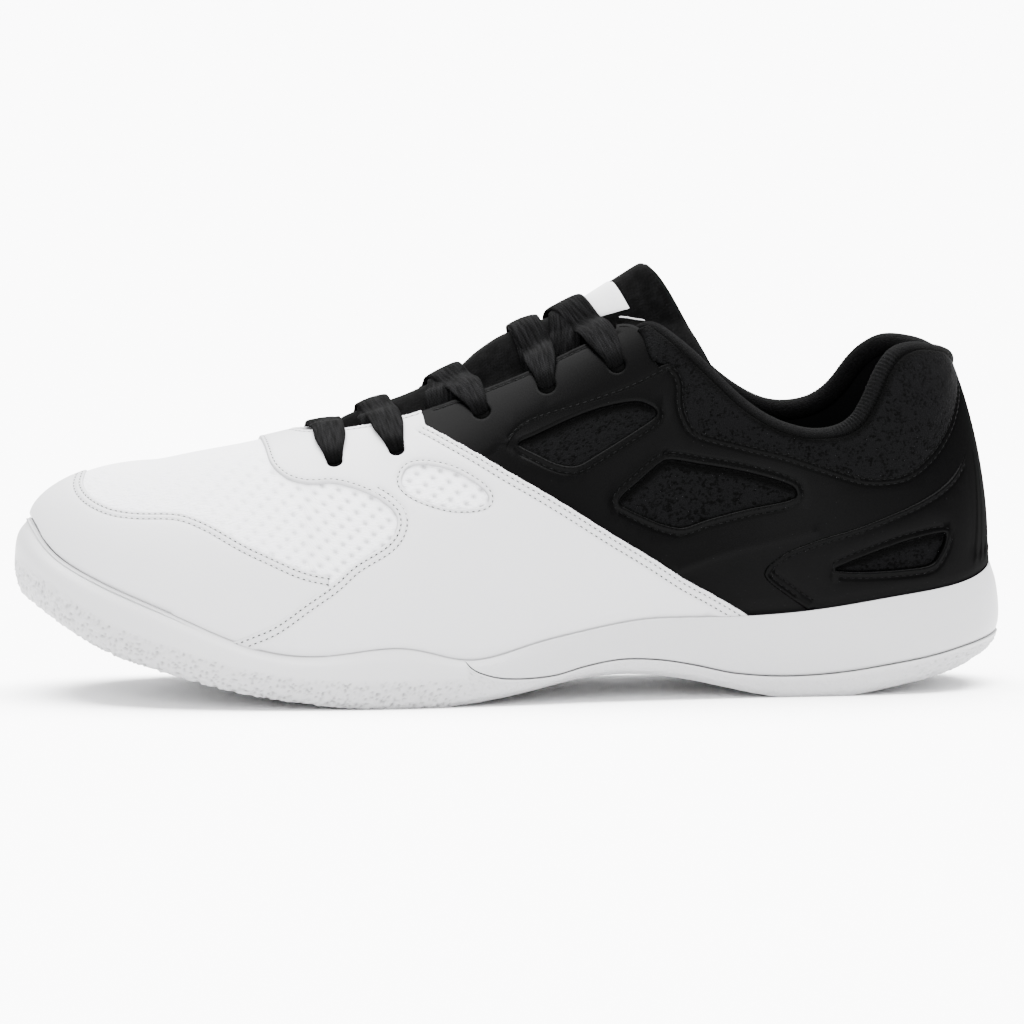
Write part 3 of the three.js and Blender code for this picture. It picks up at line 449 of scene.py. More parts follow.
    def step(self, t: np.ndarray, v: np.ndarray, move: np.ndarray) -> tuple[np.ndarray, np.ndarray]:
        """Moves places along the surface.

        Args:
            t: places along the loop.
            v: rises.
            move: the wanted move in space, one vector a place.

        Returns:
            The new places and rises.
        """
        dt, dv = 0.5 * MM, 0.005
        a = (self.plain(t + dt, v) - self.plain(t - dt, v)) / (2 * dt)
        b = (self.plain(t, v + dv) - self.plain(t, v - dv)) / (2 * dv)
        aa, ab, bb = (a * a).sum(-1), (a * b).sum(-1), (b * b).sum(-1)
        ma, mb = (a * move).sum(-1), (b * move).sum(-1)
        det = aa * bb - ab * ab
        return t + (ma * bb - mb * ab) / det, v + (mb * aa - ma * ab) / det


LAST = Last()


class Chart(Enum):
    """The flat maps in which panels are drawn: over one side, or over the ridge with the sides unfolded."""

    SIDE = "side"
    RIDGE = "ridge"

    def places(self, flat: np.ndarray) -> tuple[np.ndarray, np.ndarray]:
        """Turns flat points into places on the last.

        Args:
            flat: points of the map, in metres.

        Returns:
            Places along the loop and rises.
        """
        p, q = flat[..., 0], flat[..., 1] / MAP_HEIGHT
        if self is Chart.SIDE:
            return np.mod(p, LAST.loop), q
        return np.mod(np.where(q <= 0, p, LAST.loop - p), LAST.loop), 1 - np.abs(q)

    def point(self, flat: np.ndarray, offset: np.ndarray | float = 0.0) -> np.ndarray:
        """Gives points over the last for flat points."""
        t, v = self.places(flat)
        return LAST.point(t, v, np.broadcast_to(offset, t.shape))

    def normal(self, flat: np.ndarray) -> np.ndarray:
        """Gives outward unit normals for flat points."""
        return LAST.normal(*self.places(flat))

    def step(self, flat: np.ndarray, move: np.ndarray) -> np.ndarray:
        """Moves flat points by a way in space.

        Args:
            flat: points of the map.
            move: the way in space for each.

        Returns:
            The moved flat points.
        """
        d = 0.2 * MM
        e, n = np.array([d, 0.0]), np.array([0.0, d])
        a = (self.point(flat + e) - self.point(flat - e)) / (2 * d)
        b = (self.point(flat + n) - self.point(flat - n)) / (2 * d)
        aa, ab, bb = (a * a).sum(-1), (a * b).sum(-1), (b * b).sum(-1)
        ma, mb = (a * move).sum(-1), (b * move).sum(-1)
        det = np.maximum(aa * bb - ab * ab, 1e-9)
        return flat + np.stack([(ma * bb - mb * ab) / det, (mb * aa - ma * ab) / det], -1)

    def flat(self, along: np.ndarray, rise: np.ndarray) -> np.ndarray:
        """Turns places given as shares into flat points.

        Args:
            along: shares from toe to heel, negative on the inner side.
            rise: rises.

        Returns:
            Points of the map.
        """
        along, rise = np.asarray(along, float), np.asarray(rise, float)
        if self is Chart.SIDE:
            return np.stack([along * LAST.loop / 2, rise * MAP_HEIGHT], -1)
        sign = np.where(along >= 0, -1.0, 1.0)
        return np.stack([np.abs(along) * LAST.loop / 2, sign * (1 - rise) * MAP_HEIGHT], -1)


# How high one side is drawn on the maps.
MAP_HEIGHT = 98 * MM


def curve_through(rows: tuple[tuple[float, float], ...], closed: bool = False, fine: int = 14) -> np.ndarray:
    """Draws a smooth curve through a few given points.

    Args:
        rows: the points.
        closed: whether it comes back to the first.
        fine: how many steps a span gets.

    Returns:
        Points of the curve.
    """
    pts = np.array(rows, float)
    n = len(pts)
    spans = n if closed else n - 1
    ahead = (lambda i: pts[i % n]) if closed else (lambda i: pts[min(max(i, 0), n - 1)])
    s = np.linspace(0, 1, fine, endpoint=False)[:, None]
    out = []
    for i in range(spans):
        a, b, c, d = ahead(i - 1), ahead(i), ahead(i + 1), ahead(i + 2)
        out.append(0.5 * (2 * b + (c - a) * s + (2 * a - 5 * b + 4 * c - d) * s ** 2
                          + (3 * b - a - 3 * c + d) * s ** 3))
    if not closed:
        out.append(pts[-1:])
    return np.concatenate(out)


def even(chart: Chart, flat: np.ndarray, spacing: float, closed: bool = False) -> np.ndarray:
    """Spaces a flat curve evenly by its length over the last.

    Args:
        chart: the map.
        flat: points of the curve.
        spacing: the wanted distance between points.
        closed: whether the curve is a loop.

    Returns:
        Evenly spaced flat points.
    """
    line = np.concatenate([flat, flat[:1]]) if closed else flat
    steps = np.linalg.norm(np.diff(chart.point(line), axis=0), axis=1)
    keep = np.concatenate([[True], steps > 1e-7])
    line, steps = line[keep], steps[keep[1:]]
    ways = np.concatenate([[0.0], np.cumsum(steps)])
    count = max(2, int(round(ways[-1] / spacing)))
    at = np.linspace(0, ways[-1], count + 1)
    at = at[:-1] if closed else at
    return np.stack([np.interp(at, ways, line[:, 0]), np.interp(at, ways, line[:, 1])], -1)


def tangents(points: np.ndarray, closed: bool = False) -> np.ndarray:
    """Gives unit directions along a line of points.

    Args:
        points: the points.
        closed: whether the line is a loop.

    Returns:
        One unit vector a point.
    """
    if closed:
        d = np.roll(points, -1, 0) - np.roll(points, 1, 0)
    else:
        d = np.gradient(points, axis=0)
    return unit(d)


def beside(chart: Chart, flat: np.ndarray, distance: float, closed: bool = False) -> np.ndarray:
    """Moves a flat curve to its left by a distance over the last.

    Args:
        chart: the map.
        flat: points of the curve.
        distance: how far to the left, negative for the right.
        closed: whether the curve is a loop.

    Returns:
        The moved flat points.
    """
    way = tangents(chart.point(flat), closed)
    left = np.cross(chart.normal(flat), way)
    return chart.step(flat, left * distance)


def inside(loops: list[np.ndarray], points: np.ndarray) -> np.ndarray:
    """Tells which flat points lie within loops, by crossings.

    Args:
        loops: closed flat loops, holes too.
        points: flat points.

    Returns:
        True for points within.
    """
    hit = np.zeros(len(points), bool)
    for loop in loops:
        ends = np.roll(loop, -1, 0)
        box_low, box_high = loop.min(0), loop.max(0)
        near = np.nonzero(((points > box_low) & (points < box_high)).all(1))[0]
        for part in np.array_split(near, max(1, len(near) // 4000)):
            x, y = points[part, 0][:, None], points[part, 1][:, None]
            over = (loop[:, 1] > y) != (ends[:, 1] > y)
            rise = np.where(over, ends[:, 1] - loop[:, 1], 1.0)
            cross = loop[:, 0] + (y - loop[:, 1]) / rise * (ends[:, 0] - loop[:, 0])
            hit[part] ^= ((over & (x < cross)).sum(1) % 2).astype(bool)
    return hit


def nearest(tree_points: np.ndarray, points: np.ndarray) -> tuple[np.ndarray, np.ndarray]:
    """Finds the nearest of some points.

    Args:
        tree_points: the points to look among.
        points: where to look from.

    Returns:
        Distances and indices.
    """
    tree = KDTree(len(tree_points))
    for i, p in enumerate(tree_points):
        tree.insert(p, i)
    tree.balance()
    found = [tree.find(p) for p in points]
    return np.array([f[2] for f in found]), np.array([f[1] for f in found], int)


def add_piece(name: str, points: np.ndarray, faces: np.ndarray | list, material: bpy.types.Material,
              slot: str, uv: np.ndarray | None = None,
              shade: np.ndarray | None = None) -> bpy.types.Object:
    """Adds a mesh that rides on the shoe's body.

    Args:
        name: the piece's name.
        points: its vertices.
        faces: its faces.
        material: its finish.
        slot: the record's slot of that finish; not used.
        uv: a place in millimetres for each vertex, for patterns.
        shade: how much painted shade each vertex gets, 0 to 1; the materials darken their colour by it.

    Returns:
        The new object.
    """
    mesh = bpy.data.meshes.new(name)
    mesh.from_pydata(np.asarray(points).tolist(), [], [list(map(int, f)) for f in faces])
    mesh.polygons.foreach_set("use_smooth", [True] * len(mesh.polygons))
    corners = np.empty(len(mesh.loops), int)
    mesh.loops.foreach_get("vertex_index", corners)
    if uv is not None:
        layer = mesh.uv_layers.new(name="UVMap")
        layer.data.foreach_set("uv", (np.asarray(uv)[corners] * 1000).astype(np.float32).ravel())
    # The shade attribute carries painted shade: the materials darken their colour by it.
    attribute = mesh.attributes.new("shade", "FLOAT", "POINT")
    attribute.data.foreach_set("value", np.zeros(len(points)) if shade is None else np.clip(shade, 0, 1))
    mesh.materials.append(material)
    mesh.update()
    piece = bpy.data.objects.new(name, mesh)
    bpy.context.scene.collection.objects.link(piece)
    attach(piece, BODY)
    return piece


def grid_faces(rows: int, columns: int, wrap: bool) -> np.ndarray:
    """Gives the four-cornered faces of a grid, rows upward and columns around.

    Args:
        rows: how many rows of points.
        columns: how many points a row.
        wrap: whether a row closes.

    Returns:
        Vertex indices of the faces, outward for rows that rise and columns that go round the shoe.
    """
    k = np.arange(rows - 1)[:, None]
    i = np.arange(columns if wrap else columns - 1)[None, :]
    j = (i + 1) % columns
    return np.stack([k * columns + i, k * columns + j, (k + 1) * columns + j, (k + 1) * columns + i],
                    -1).reshape(-1, 4)


@dataclass
class Trough:
    """A soft line pressed into a panel, such as a stitch row, or with a negative depth a ridge."""

    flat: np.ndarray
    depth: float = 0.25 * MM
    width: float = 0.55 * MM


@dataclass
class Panel:
    """A flat piece of leather or cloth on the last, with rolled edges, holes and pressed lines."""

    name: str
    chart: Chart
    edge: np.ndarray
    holes: list[np.ndarray] = field(default_factory=list)
    troughs: list[Trough] = field(default_factory=list)
    thickness: float = 1.2 * MM
    edge_round: float = 0.7 * MM
    bead: float = 0.0
    spacing: float = 1.0 * MM
    grid: float = 2.6 * MM
    skirt: float = -1.8 * MM
    # How much painted shade darkens the troughs.
    groove_shade: float = 0.35
    relief: Callable | None = None
    border_points: np.ndarray | None = None

    def build(self, material: bpy.types.Material, slot: str) -> bpy.types.Object:
        """Fills the outline with triangles, lays it on the last and dresses it.

        Args:
            material: the finish.
            slot: the record's slot.

        Returns:
            The panel's object.
        """
        loops = [even(self.chart, self.edge, self.spacing, True)]
        loops += [even(self.chart, hole, min(self.spacing, 0.7 * MM), True) for hole in self.holes]
        for k, loop in enumerate(loops):
            x, y = loop[:, 0], loop[:, 1]
            area = (x * np.roll(y, -1) - np.roll(x, -1) * y).sum()
            if (area < 0) != (k > 0):
                loops[k] = loop[::-1]
        border = np.concatenate(loops)
        self.border_points = self.chart.point(border)
        free = []
        for share in (0.18, 0.5, 1.0, 1.9):
            distance = share * self.edge_round
            for loop in loops:
                ring = beside(self.chart, loop, distance, True)
                gap, _ = nearest(self.border_points, self.chart.point(ring))
                free.append(ring[gap > 0.85 * distance])
        for trough in self.troughs:
            for side in (-2.1, -1.1, 0.0, 1.1, 2.1):
                free.append(beside(self.chart, trough.flat, side * trough.width))
        low, high = loops[0].min(0), loops[0].max(0)
        xs = np.arange(low[0], high[0], self.grid)
        ys = np.arange(low[1], high[1], self.grid * 0.9)
        mesh_x, mesh_y = np.meshgrid(xs, ys)
        mesh_x = mesh_x + (np.arange(len(ys)) % 2)[:, None] * self.grid / 2
        field_points = np.stack([mesh_x.ravel(), mesh_y.ravel()], -1)
        field_points = field_points[inside(loops, field_points)]
        lines = np.concatenate(free)
        lines = lines[inside(loops, lines)]
        if len(field_points):
            held = np.concatenate([self.border_points, self.chart.point(lines)])
            gap, _ = nearest(held, self.chart.point(field_points))
            field_points = field_points[gap > 0.45 * self.grid]
        flat = np.concatenate([border, lines, field_points])
        constraints = []
        start = 0
        for loop in loops:
            n = len(loop)
            constraints += [(start + i, start + (i + 1) % n) for i in range(n)]
            start += n
        found = delaunay_2d_cdt([Vector(p) for p in flat], constraints, [], 0, 1e-7)
        verts = np.array([tuple(p) for p in found[0]])
        faces = np.array(found[2])
        middles = verts[faces].mean(1)
        faces = faces[inside(loops, middles)]
        used = np.unique(faces)
        fresh = np.full(len(verts), -1)
        fresh[used] = np.arange(len(used))
        verts, faces = verts[used], fresh[faces]
        offset, shade = self.offsets(verts)
        points = self.chart.point(verts, offset)
        edges = np.concatenate([faces[:, [0, 1]], faces[:, [1, 2]], faces[:, [2, 0]]])
        keys = {(int(a), int(b)) for a, b in edges}
        rim = [(a, b) for a, b in keys if (b, a) not in keys]
        below = {v: len(verts) + i for i, v in enumerate(sorted({a for a, _ in rim}))}
        order = np.array(sorted(below))
        points = np.concatenate([points, self.chart.point(verts[order], self.skirt)])
        walls = [(b, a, below[a], below[b]) for a, b in rim if b in below]
        uv = np.concatenate([verts, verts[order]])
        # The skirts under the edges get painted shade.
        shade = np.concatenate([shade, np.full(len(order), 0.6)])
        piece = add_piece(self.name, points, faces.tolist() + walls, material, slot, uv, shade)
        LOG.info("%s: %d faces", self.name, len(piece.data.polygons))
        return piece

    def offsets(self, flat: np.ndarray) -> tuple[np.ndarray, np.ndarray]:
        """Works out how far each point stands off the last and how much painted shade it gets.

        Args:
            flat: the panel's flat points.

        Returns:
            Offsets, and painted shades.
        """
        points = self.chart.point(flat)
        gap, _ = nearest(self.border_points, points)
        offset = self.thickness * (0.25 + 0.75 * quarter_round(gap / self.edge_round))
        offset = offset + self.bead * np.exp(-((gap - 1.1 * self.edge_round) / (0.7 * self.edge_round)) ** 2)
        # Painted shade right at the edge.
        shade = 0.5 * np.clip(1 - gap / (0.35 * MM), 0, 1)
        for trough in self.troughs:
            near, _ = nearest(self.chart.point(even(self.chart, trough.flat, 0.3 * MM)), points)
            dent = np.exp(-(near / trough.width) ** 2)
            offset = offset - trough.depth * dent
            # Painted shade in the troughs that are pressed in, not on ridges.
            shade = shade + self.groove_shade * dent * (trough.depth > 0)
        if self.relief is not None:
            # The relief may add painted shade.
            raised, painted_shade = self.relief(*self.chart.places(flat), points)
            offset, shade = offset + raised, shade + painted_shade
        return offset, shade


@dataclass
class StitchRow:
    """A row of thread along a flat curve, with dark dashes painted as the shadow in the holes that its needle
    left.
    """

    chart: Chart
    flat: np.ndarray
    period: float
    dash: float
    thread: float = 0.19 * MM
    panel: Panel | None = None


@dataclass
class Sewing:
    """All rows sewn with one thread, joined into one mesh of thread and one of dark dashes painted as the
    shadow in the needle holes.
    """

    name: str
    rows: list[StitchRow] = field(default_factory=list)
    period: float = 1.7 * MM
    dash: float = 1.05 * MM
    sides: int = 6
    stand: float = 0.05 * MM

    def add(self, chart: Chart, flat: np.ndarray) -> StitchRow:
        """Adds a row."""
        self.rows.append(StitchRow(chart, flat, self.period, self.dash))
        return self.rows[-1]

    def capsule(self, length: float, radius: float, flatness: float) -> np.ndarray:
        """Gives the points of one rounded dash along its first axis.

        Args:
            length: its length.
            radius: half its width.
            flatness: its height as a share of its width.

        Returns:
            Points, ring after ring, with the two tips last.
        """
        turn = np.arange(self.sides) / self.sides * 2 * math.pi
        rings = []
        for place, size in ((-0.42, 0.62), (-0.22, 1.0), (0.22, 1.0), (0.42, 0.62)):
            rings.append(np.stack([np.full(self.sides, place * length), np.cos(turn) * radius * size,
                                   np.sin(turn) * radius * size * flatness], -1))
        tips = np.array([[-0.5 * length, 0, 0], [0.5 * length, 0, 0]])
        return np.concatenate(rings + [tips])

    def capsule_faces(self) -> list[tuple[int, ...]]:
        """Gives the faces of one dash.

        Returns:
            Vertex indices.
        """
        n = self.sides
        faces = []
        for k in range(3):
            for i in range(n):
                j = (i + 1) % n
                faces.append((k * n + i, (k + 1) * n + i, (k + 1) * n + j, k * n + j))
        for i in range(n):
            j = (i + 1) % n
            faces.append((4 * n, i, j))
            faces.append((4 * n + 1, 3 * n + j, 3 * n + i))
        return faces

    def build(self, thread: bpy.types.Material, hole: bpy.types.Material, slot: str) -> None:
        """Makes the two joined meshes.

        Args:
            thread: the thread's finish.
            hole: the dark finish painted as the shadow in the needle holes.
            slot: the record's slot.
        """
        # The holes parts are dark capsules painted as the shadow in the needle holes, between the dashes of
        # thread.
        parts = {"thread": [], "holes": []}
        for row in self.rows:
            flat = even(row.chart, row.flat, row.period)
            points = row.chart.point(flat, row.panel.offsets(flat)[0] + self.stand)
            normal = row.chart.normal(flat)
            way = tangents(points)
            way = unit(way - normal * (way * normal).sum(1, keepdims=True))
            side = np.cross(normal, way)
            dash = self.capsule(row.dash, row.thread, 0.8)
            # The shadow dash painted at each needle hole.
            shadow_dot = self.capsule(row.period - row.dash + 0.35 * MM, row.thread * 1.25, 0.5)
            middle = (points[1:] + points[:-1]) / 2
            for key, shape, at, frame_index in (("thread", dash, middle, slice(0, -1)),
                                                ("holes", shadow_dot, points, slice(0, None))):
                a, b, c = way[frame_index], side[frame_index], normal[frame_index]
                sink = 0.06 * MM if key == "holes" else -0.02 * MM
                spread = (at - c * sink)[:, None, :] + (shape[None, :, 0:1] * a[:, None, :]
                                                        + shape[None, :, 1:2] * b[:, None, :]
                                                        + shape[None, :, 2:3] * c[:, None, :])
                parts[key].append(spread.reshape(-1, 3))
        template = np.array([list(f) + [-1] * (4 - len(f)) for f in self.capsule_faces()])
        size = 4 * self.sides + 2
        for key, material in (("thread", thread), ("holes", hole)):
            points = np.concatenate(parts[key])
            count = len(points) // size
            faces = []
            for i in range(count):
                faces += [[v + i * size for v in f if v >= 0] for f in template.tolist()]
            piece = add_piece(f"{self.name}_{key}", points, faces, material, slot)
            LOG.info("%s: %d dashes", piece.name, count)


class Graph:
    """A material's shader, built node by node."""

    def __init__(self, name: str) -> None:
        """Starts a material with a plain surface shader.

        Args:
            name: the material's name.
        """
        self.material = bpy.data.materials.new(name)
        self.material.use_nodes = True
        self.tree = self.material.node_tree
        self.surface = self.tree.nodes["Principled BSDF"]

    def add(self, kind: str, inputs: dict | None = None, **settings: object) -> bpy.types.Node:
        """Adds a node.

        Args:
            kind: the node's type.
            inputs: values or sockets for its inputs.
            settings: its own settings.

        Returns:
            The node.
        """
        node = self.tree.nodes.new(kind)
        for key, value in settings.items():
            setattr(node, key, value)
        for key, value in (inputs or {}).items():
            self.put(node.inputs[key], value)
        return node

    def put(self, socket: bpy.types.NodeSocket, value: object) -> None:
        """Sets an input or links a socket to it.

        Args:
            socket: the input.
            value: a number, a colour or an output socket.
        """
        if isinstance(value, bpy.types.NodeSocket):
            self.tree.links.new(value, socket)
        else:
            socket.default_value = value

    def math(self, operation: str, a: object, b: object = 0.0, c: object = 0.0) -> bpy.types.NodeSocket:
        """Adds a sum.

        Args:
            operation: the operation's name.
            a: first value.
            b: second value.
            c: third value.

        Returns:
            The result's socket.
        """
        node = self.add("ShaderNodeMath", operation=operation)
        for socket, value in zip(node.inputs, (a, b, c)):
            self.put(socket, value)
        return node.outputs[0]

    def noise(self, scale: float, detail: float = 3.0, vector: bpy.types.NodeSocket | None = None,
              roughness: float = 0.55) -> bpy.types.NodeSocket:
        """Adds smooth noise in the piece's own space.

        Args:
            scale: how many waves a metre, or a millimetre of the pattern map.
            detail: how many finer layers.
            vector: another space.
            roughness: how strong the finer layers are.

        Returns:
            The noise's socket.
        """
        vector = vector or self.add("ShaderNodeTexCoord").outputs["Object"]
        node = self.add("ShaderNodeTexNoise",
                        {"Vector": vector, "Scale": scale, "Detail": detail, "Roughness": roughness})
        return node.outputs["Fac"]

    def mix(self, share: object, dark: object, light: object) -> bpy.types.NodeSocket:
        """Mixes two colours.

        Args:
            share: how much of the second.
            dark: the first colour or socket.
            light: the second colour or socket.

        Returns:
            The colour's socket.
        """
        node = self.add("ShaderNodeMix", data_type="RGBA")
        self.put(node.inputs["Factor"], share)
        self.put(node.inputs["A"], dark if isinstance(dark, bpy.types.NodeSocket) else (*dark, 1.0))
        self.put(node.inputs["B"], light if isinstance(light, bpy.types.NodeSocket) else (*light, 1.0))
        return node.outputs["Result"]

    def bump(self, height: bpy.types.NodeSocket, distance: float, strength: float = 1.0,
             normal: bpy.types.NodeSocket | None = None) -> bpy.types.NodeSocket:
        """Turns a height into a bent normal.

        Args:
            height: the height's socket, 0 to 1.
            distance: the depth that 1 stands for.
            strength: how much of it shows.
            normal: the normal under it.

        Returns:
            The normal's socket.
        """
        node = self.add("ShaderNodeBump", {"Height": height, "Strength": strength, "Distance": distance})
        if normal is not None:
            self.put(node.inputs["Normal"], normal)
        return node.outputs["Normal"]

    def shade(self) -> bpy.types.NodeSocket:
        """Reads a point's painted shade, which darkens its colour in recesses, grooves and at edges."""
        return self.add("ShaderNodeAttribute", attribute_name="shade").outputs["Fac"]

    def pattern(self) -> bpy.types.NodeSocket:
        """Gives the pattern map in millimetres."""
        return self.add("ShaderNodeUVMap", uv_map="UVMap").outputs["UV"]

    def finish(self, colour: object, roughness: object, normal: bpy.types.NodeSocket | None = None,
               coat: float = 0.0, sheen: float = 0.0, specular: float = 0.5) -> bpy.types.Material:
        """Connects the surface.

        Args:
            colour: its colour or socket.
            roughness: its roughness or socket.
            normal: its normal's socket.
            coat: the strength of a clear coat.
            sheen: the strength of the cloth's sheen.
            specular: the strength of its mirror light.

        Returns:
            The material.
        """
        self.put(self.surface.inputs["Base Color"],
                 colour if isinstance(colour, bpy.types.NodeSocket) else (*colour, 1.0))
        self.put(self.surface.inputs["Roughness"], roughness)
        if normal is not None:
            self.put(self.surface.inputs["Normal"], normal)
        self.surface.inputs["Coat Weight"].default_value = coat
        self.surface.inputs["Coat Roughness"].default_value = 0.34
        self.surface.inputs["Coat IOR"].default_value = 2.0
        self.surface.inputs["Sheen Weight"].default_value = sheen
        self.surface.inputs["Sheen Roughness"].default_value = 0.4
        self.surface.inputs["Specular IOR Level"].default_value = specular
        return self.material


@dataclass(frozen=True)
class Leather:
    """Smooth leather with a fine grain."""

    name: str
    colour: tuple[float, float, float]
    # The darker colour painted for shade.
    painted_shade: tuple[float, float, float]
    roughness: float
    coat: float
    specular: float
    grain_depth: float = 0.05 * MM
    grain_scale: float = 1500.0

    def build(self) -> bpy.types.Material:
        """Makes the material.

        Returns:
            The material.
        """
        g = Graph(self.name)
        cells = g.add("ShaderNodeTexVoronoi",
                      {"Vector": g.add("ShaderNodeTexCoord").outputs["Object"], "Scale": self.grain_scale},
                      feature="SMOOTH_F1")
        grain = g.bump(cells.outputs["Distance"], self.grain_depth, 0.5)
        soft = g.bump(g.noise(120.0, 4.0), 0.25 * MM, 0.5, grain)
        patches = g.noise(25.0, 4.0)
        # Painted shade: the colour goes over to the darker shade colour as the shade attribute rises.
        colour = g.mix(g.shade(), self.colour, self.painted_shade)
        rough = g.math("MULTIPLY_ADD", patches, 0.18, self.roughness - 0.09)
        return g.finish(colour, rough, soft, self.coat, 0.0, self.specular)


@dataclass(frozen=True)
class Knit:
    """Heathered knitted cloth of two yarns."""

    name: str
    dark: tuple[float, float, float]
    light: tuple[float, float, float]
    scale: float
    share: float
    roughness: float = 0.85
    specular: float = 0.02
    softness: float = 0.14
    clouds: float = 0.0

    def build(self) -> bpy.types.Material:
        """Makes the material.

        Returns:
            The material.
        """
        g = Graph(self.name)
        space = g.add("ShaderNodeMapping",
                      {"Vector": g.pattern(), "Scale": (0.6, 1.0, 1.0)}).outputs["Vector"]
        cells = g.add("ShaderNodeTexVoronoi", {"Vector": space, "Scale": self.scale, "Randomness": 0.75})
        fine = g.noise(1.6, 3.0, space)
        clouds = g.math("MULTIPLY_ADD", g.noise(0.30, 3.0, g.pattern()), self.clouds, -0.5 * self.clouds)
        spread = g.math("MULTIPLY_ADD", cells.outputs["Color"], 0.55,
                        g.math("MULTIPLY_ADD", fine, 0.5, clouds))
        pick = g.add("ShaderNodeValToRGB", {"Fac": spread})
        pick.color_ramp.elements[0].position = max(0.0, 1 - self.share - self.softness)
        pick.color_ramp.elements[1].position = 1 - self.share + self.softness
        colour = g.mix(pick.outputs["Color"], self.dark, self.light)
        # Painted shade: the colour goes over to a quarter of the dark yarn's colour as the shade attribute
        # rises.
        colour = g.mix(g.math("MULTIPLY", g.shade(), 0.97), colour, tuple(c * 0.25 for c in self.dark))
        height = g.math("SUBTRACT", 1.0, cells.outputs["Distance"])
        return g.finish(colour, self.roughness, g.bump(height, 0.22 * MM, 0.9), 0.0, 0.0, self.specular)


@dataclass(frozen=True)
class Weave:
    """Woven cloth: streaks of yarn along its pattern map, over fine rows across."""

    name: str
    dark: tuple[float, float, float]
    light: tuple[float, float, float]
    pitch: float
    stretch: tuple[float, float]
    depth: float
    row_share: float
    roughness: float = 0.85
    ramp: tuple[float, float] = (0.70, 0.96)
    cloud_share: float = 0.5

    def build(self) -> bpy.types.Material:
        """Makes the material.

        Returns:
            The material.
        """
        g = Graph(self.name)
        axes = g.add("ShaderNodeSeparateXYZ", {"Vector": g.pattern()})
        u, v = axes.outputs["X"], axes.outputs["Y"]
        turn = 2 * math.pi / self.pitch
        weft = g.math("SINE", g.math("MULTIPLY", g.math("MULTIPLY_ADD", v, 0.35, u), turn))
        warp = g.math("SINE", g.math("MULTIPLY", g.math("MULTIPLY_ADD", u, -0.35, v), turn * 0.8))
        rows = g.math("MULTIPLY_ADD", g.math("MULTIPLY", weft, warp), 0.5, 0.5)
        space = g.add("ShaderNodeMapping",
                      {"Vector": g.pattern(), "Scale": (*self.stretch, 1.0)}).outputs["Vector"]
        streaks = g.noise(1.3, 5.0, space, 0.7)
        clouds = g.noise(0.35, 2.0, g.pattern())
        height = g.math("MULTIPLY_ADD", rows, self.row_share, streaks)
        mixed = g.math("MULTIPLY_ADD", clouds, self.cloud_share, height)
        pick = g.add("ShaderNodeValToRGB", {"Fac": mixed})
        pick.color_ramp.elements[0].position = self.ramp[0] + self.row_share * 0.3
        pick.color_ramp.elements[1].position = self.ramp[1] + self.row_share * 0.6
        colour = g.mix(pick.outputs["Color"], self.dark, self.light)
        # Painted shade: the colour goes over to three tenths of the dark colour as the shade attribute rises.
        colour = g.mix(g.math("MULTIPLY", g.shade(), 0.85), colour, tuple(c * 0.3 for c in self.dark))
        return g.finish(colour, self.roughness, g.bump(height, self.depth, 1.0), 0.0, 0.0, 0.02)


@dataclass(frozen=True)
class Rubber:
    """Moulded rubber or foam with a fine pebbled skin where its pebble attribute says so, and painted shade
    where its shade attribute says so.
    """

    name: str
    colour: tuple[float, float, float]
    # The darker colour painted for shade.
    painted_shade: tuple[float, float, float]
    roughness: float
    pebble: float
    pebble_depth: float

    def build(self) -> bpy.types.Material:
        """Makes the material.

        Returns:
            The material.
        """
        g = Graph(self.name)
        cells = g.add("ShaderNodeTexVoronoi",
                      {"Vector": g.add("ShaderNodeTexCoord").outputs["Object"], "Scale": self.pebble},
                      feature="SMOOTH_F1")
        rough = g.add("ShaderNodeAttribute", attribute_name="pebble").outputs["Fac"]
        height = g.math("MULTIPLY", g.math("SUBTRACT", 1.0, cells.outputs["Distance"]), rough)
        normal = g.bump(height, self.pebble_depth, 0.8)
        soft = g.bump(g.noise(60.0, 3.0), 0.15 * MM, 0.4, normal)
        stain = g.math("MULTIPLY", g.noise(35.0, 5.0), 0.12)
        # Painted shade and stains: the colour goes over to the darker shade colour by the shade attribute
        # plus random stains.
        colour = g.mix(g.math("ADD", g.shade(), stain), self.colour, self.painted_shade)
        return g.finish(colour, self.roughness, soft)


@dataclass(frozen=True)
class Plain:
    """A plain matt finish for what lies in the dark."""

    name: str
    colour: tuple[float, float, float]
    roughness: float = 0.9

    def build(self) -> bpy.types.Material:
        """Makes the material."""
        g = Graph(self.name)
        return g.finish(self.colour, self.roughness, g.bump(g.noise(900.0, 2.0), 0.1 * MM, 0.6), 0.0, 0.0,
                        0.03)


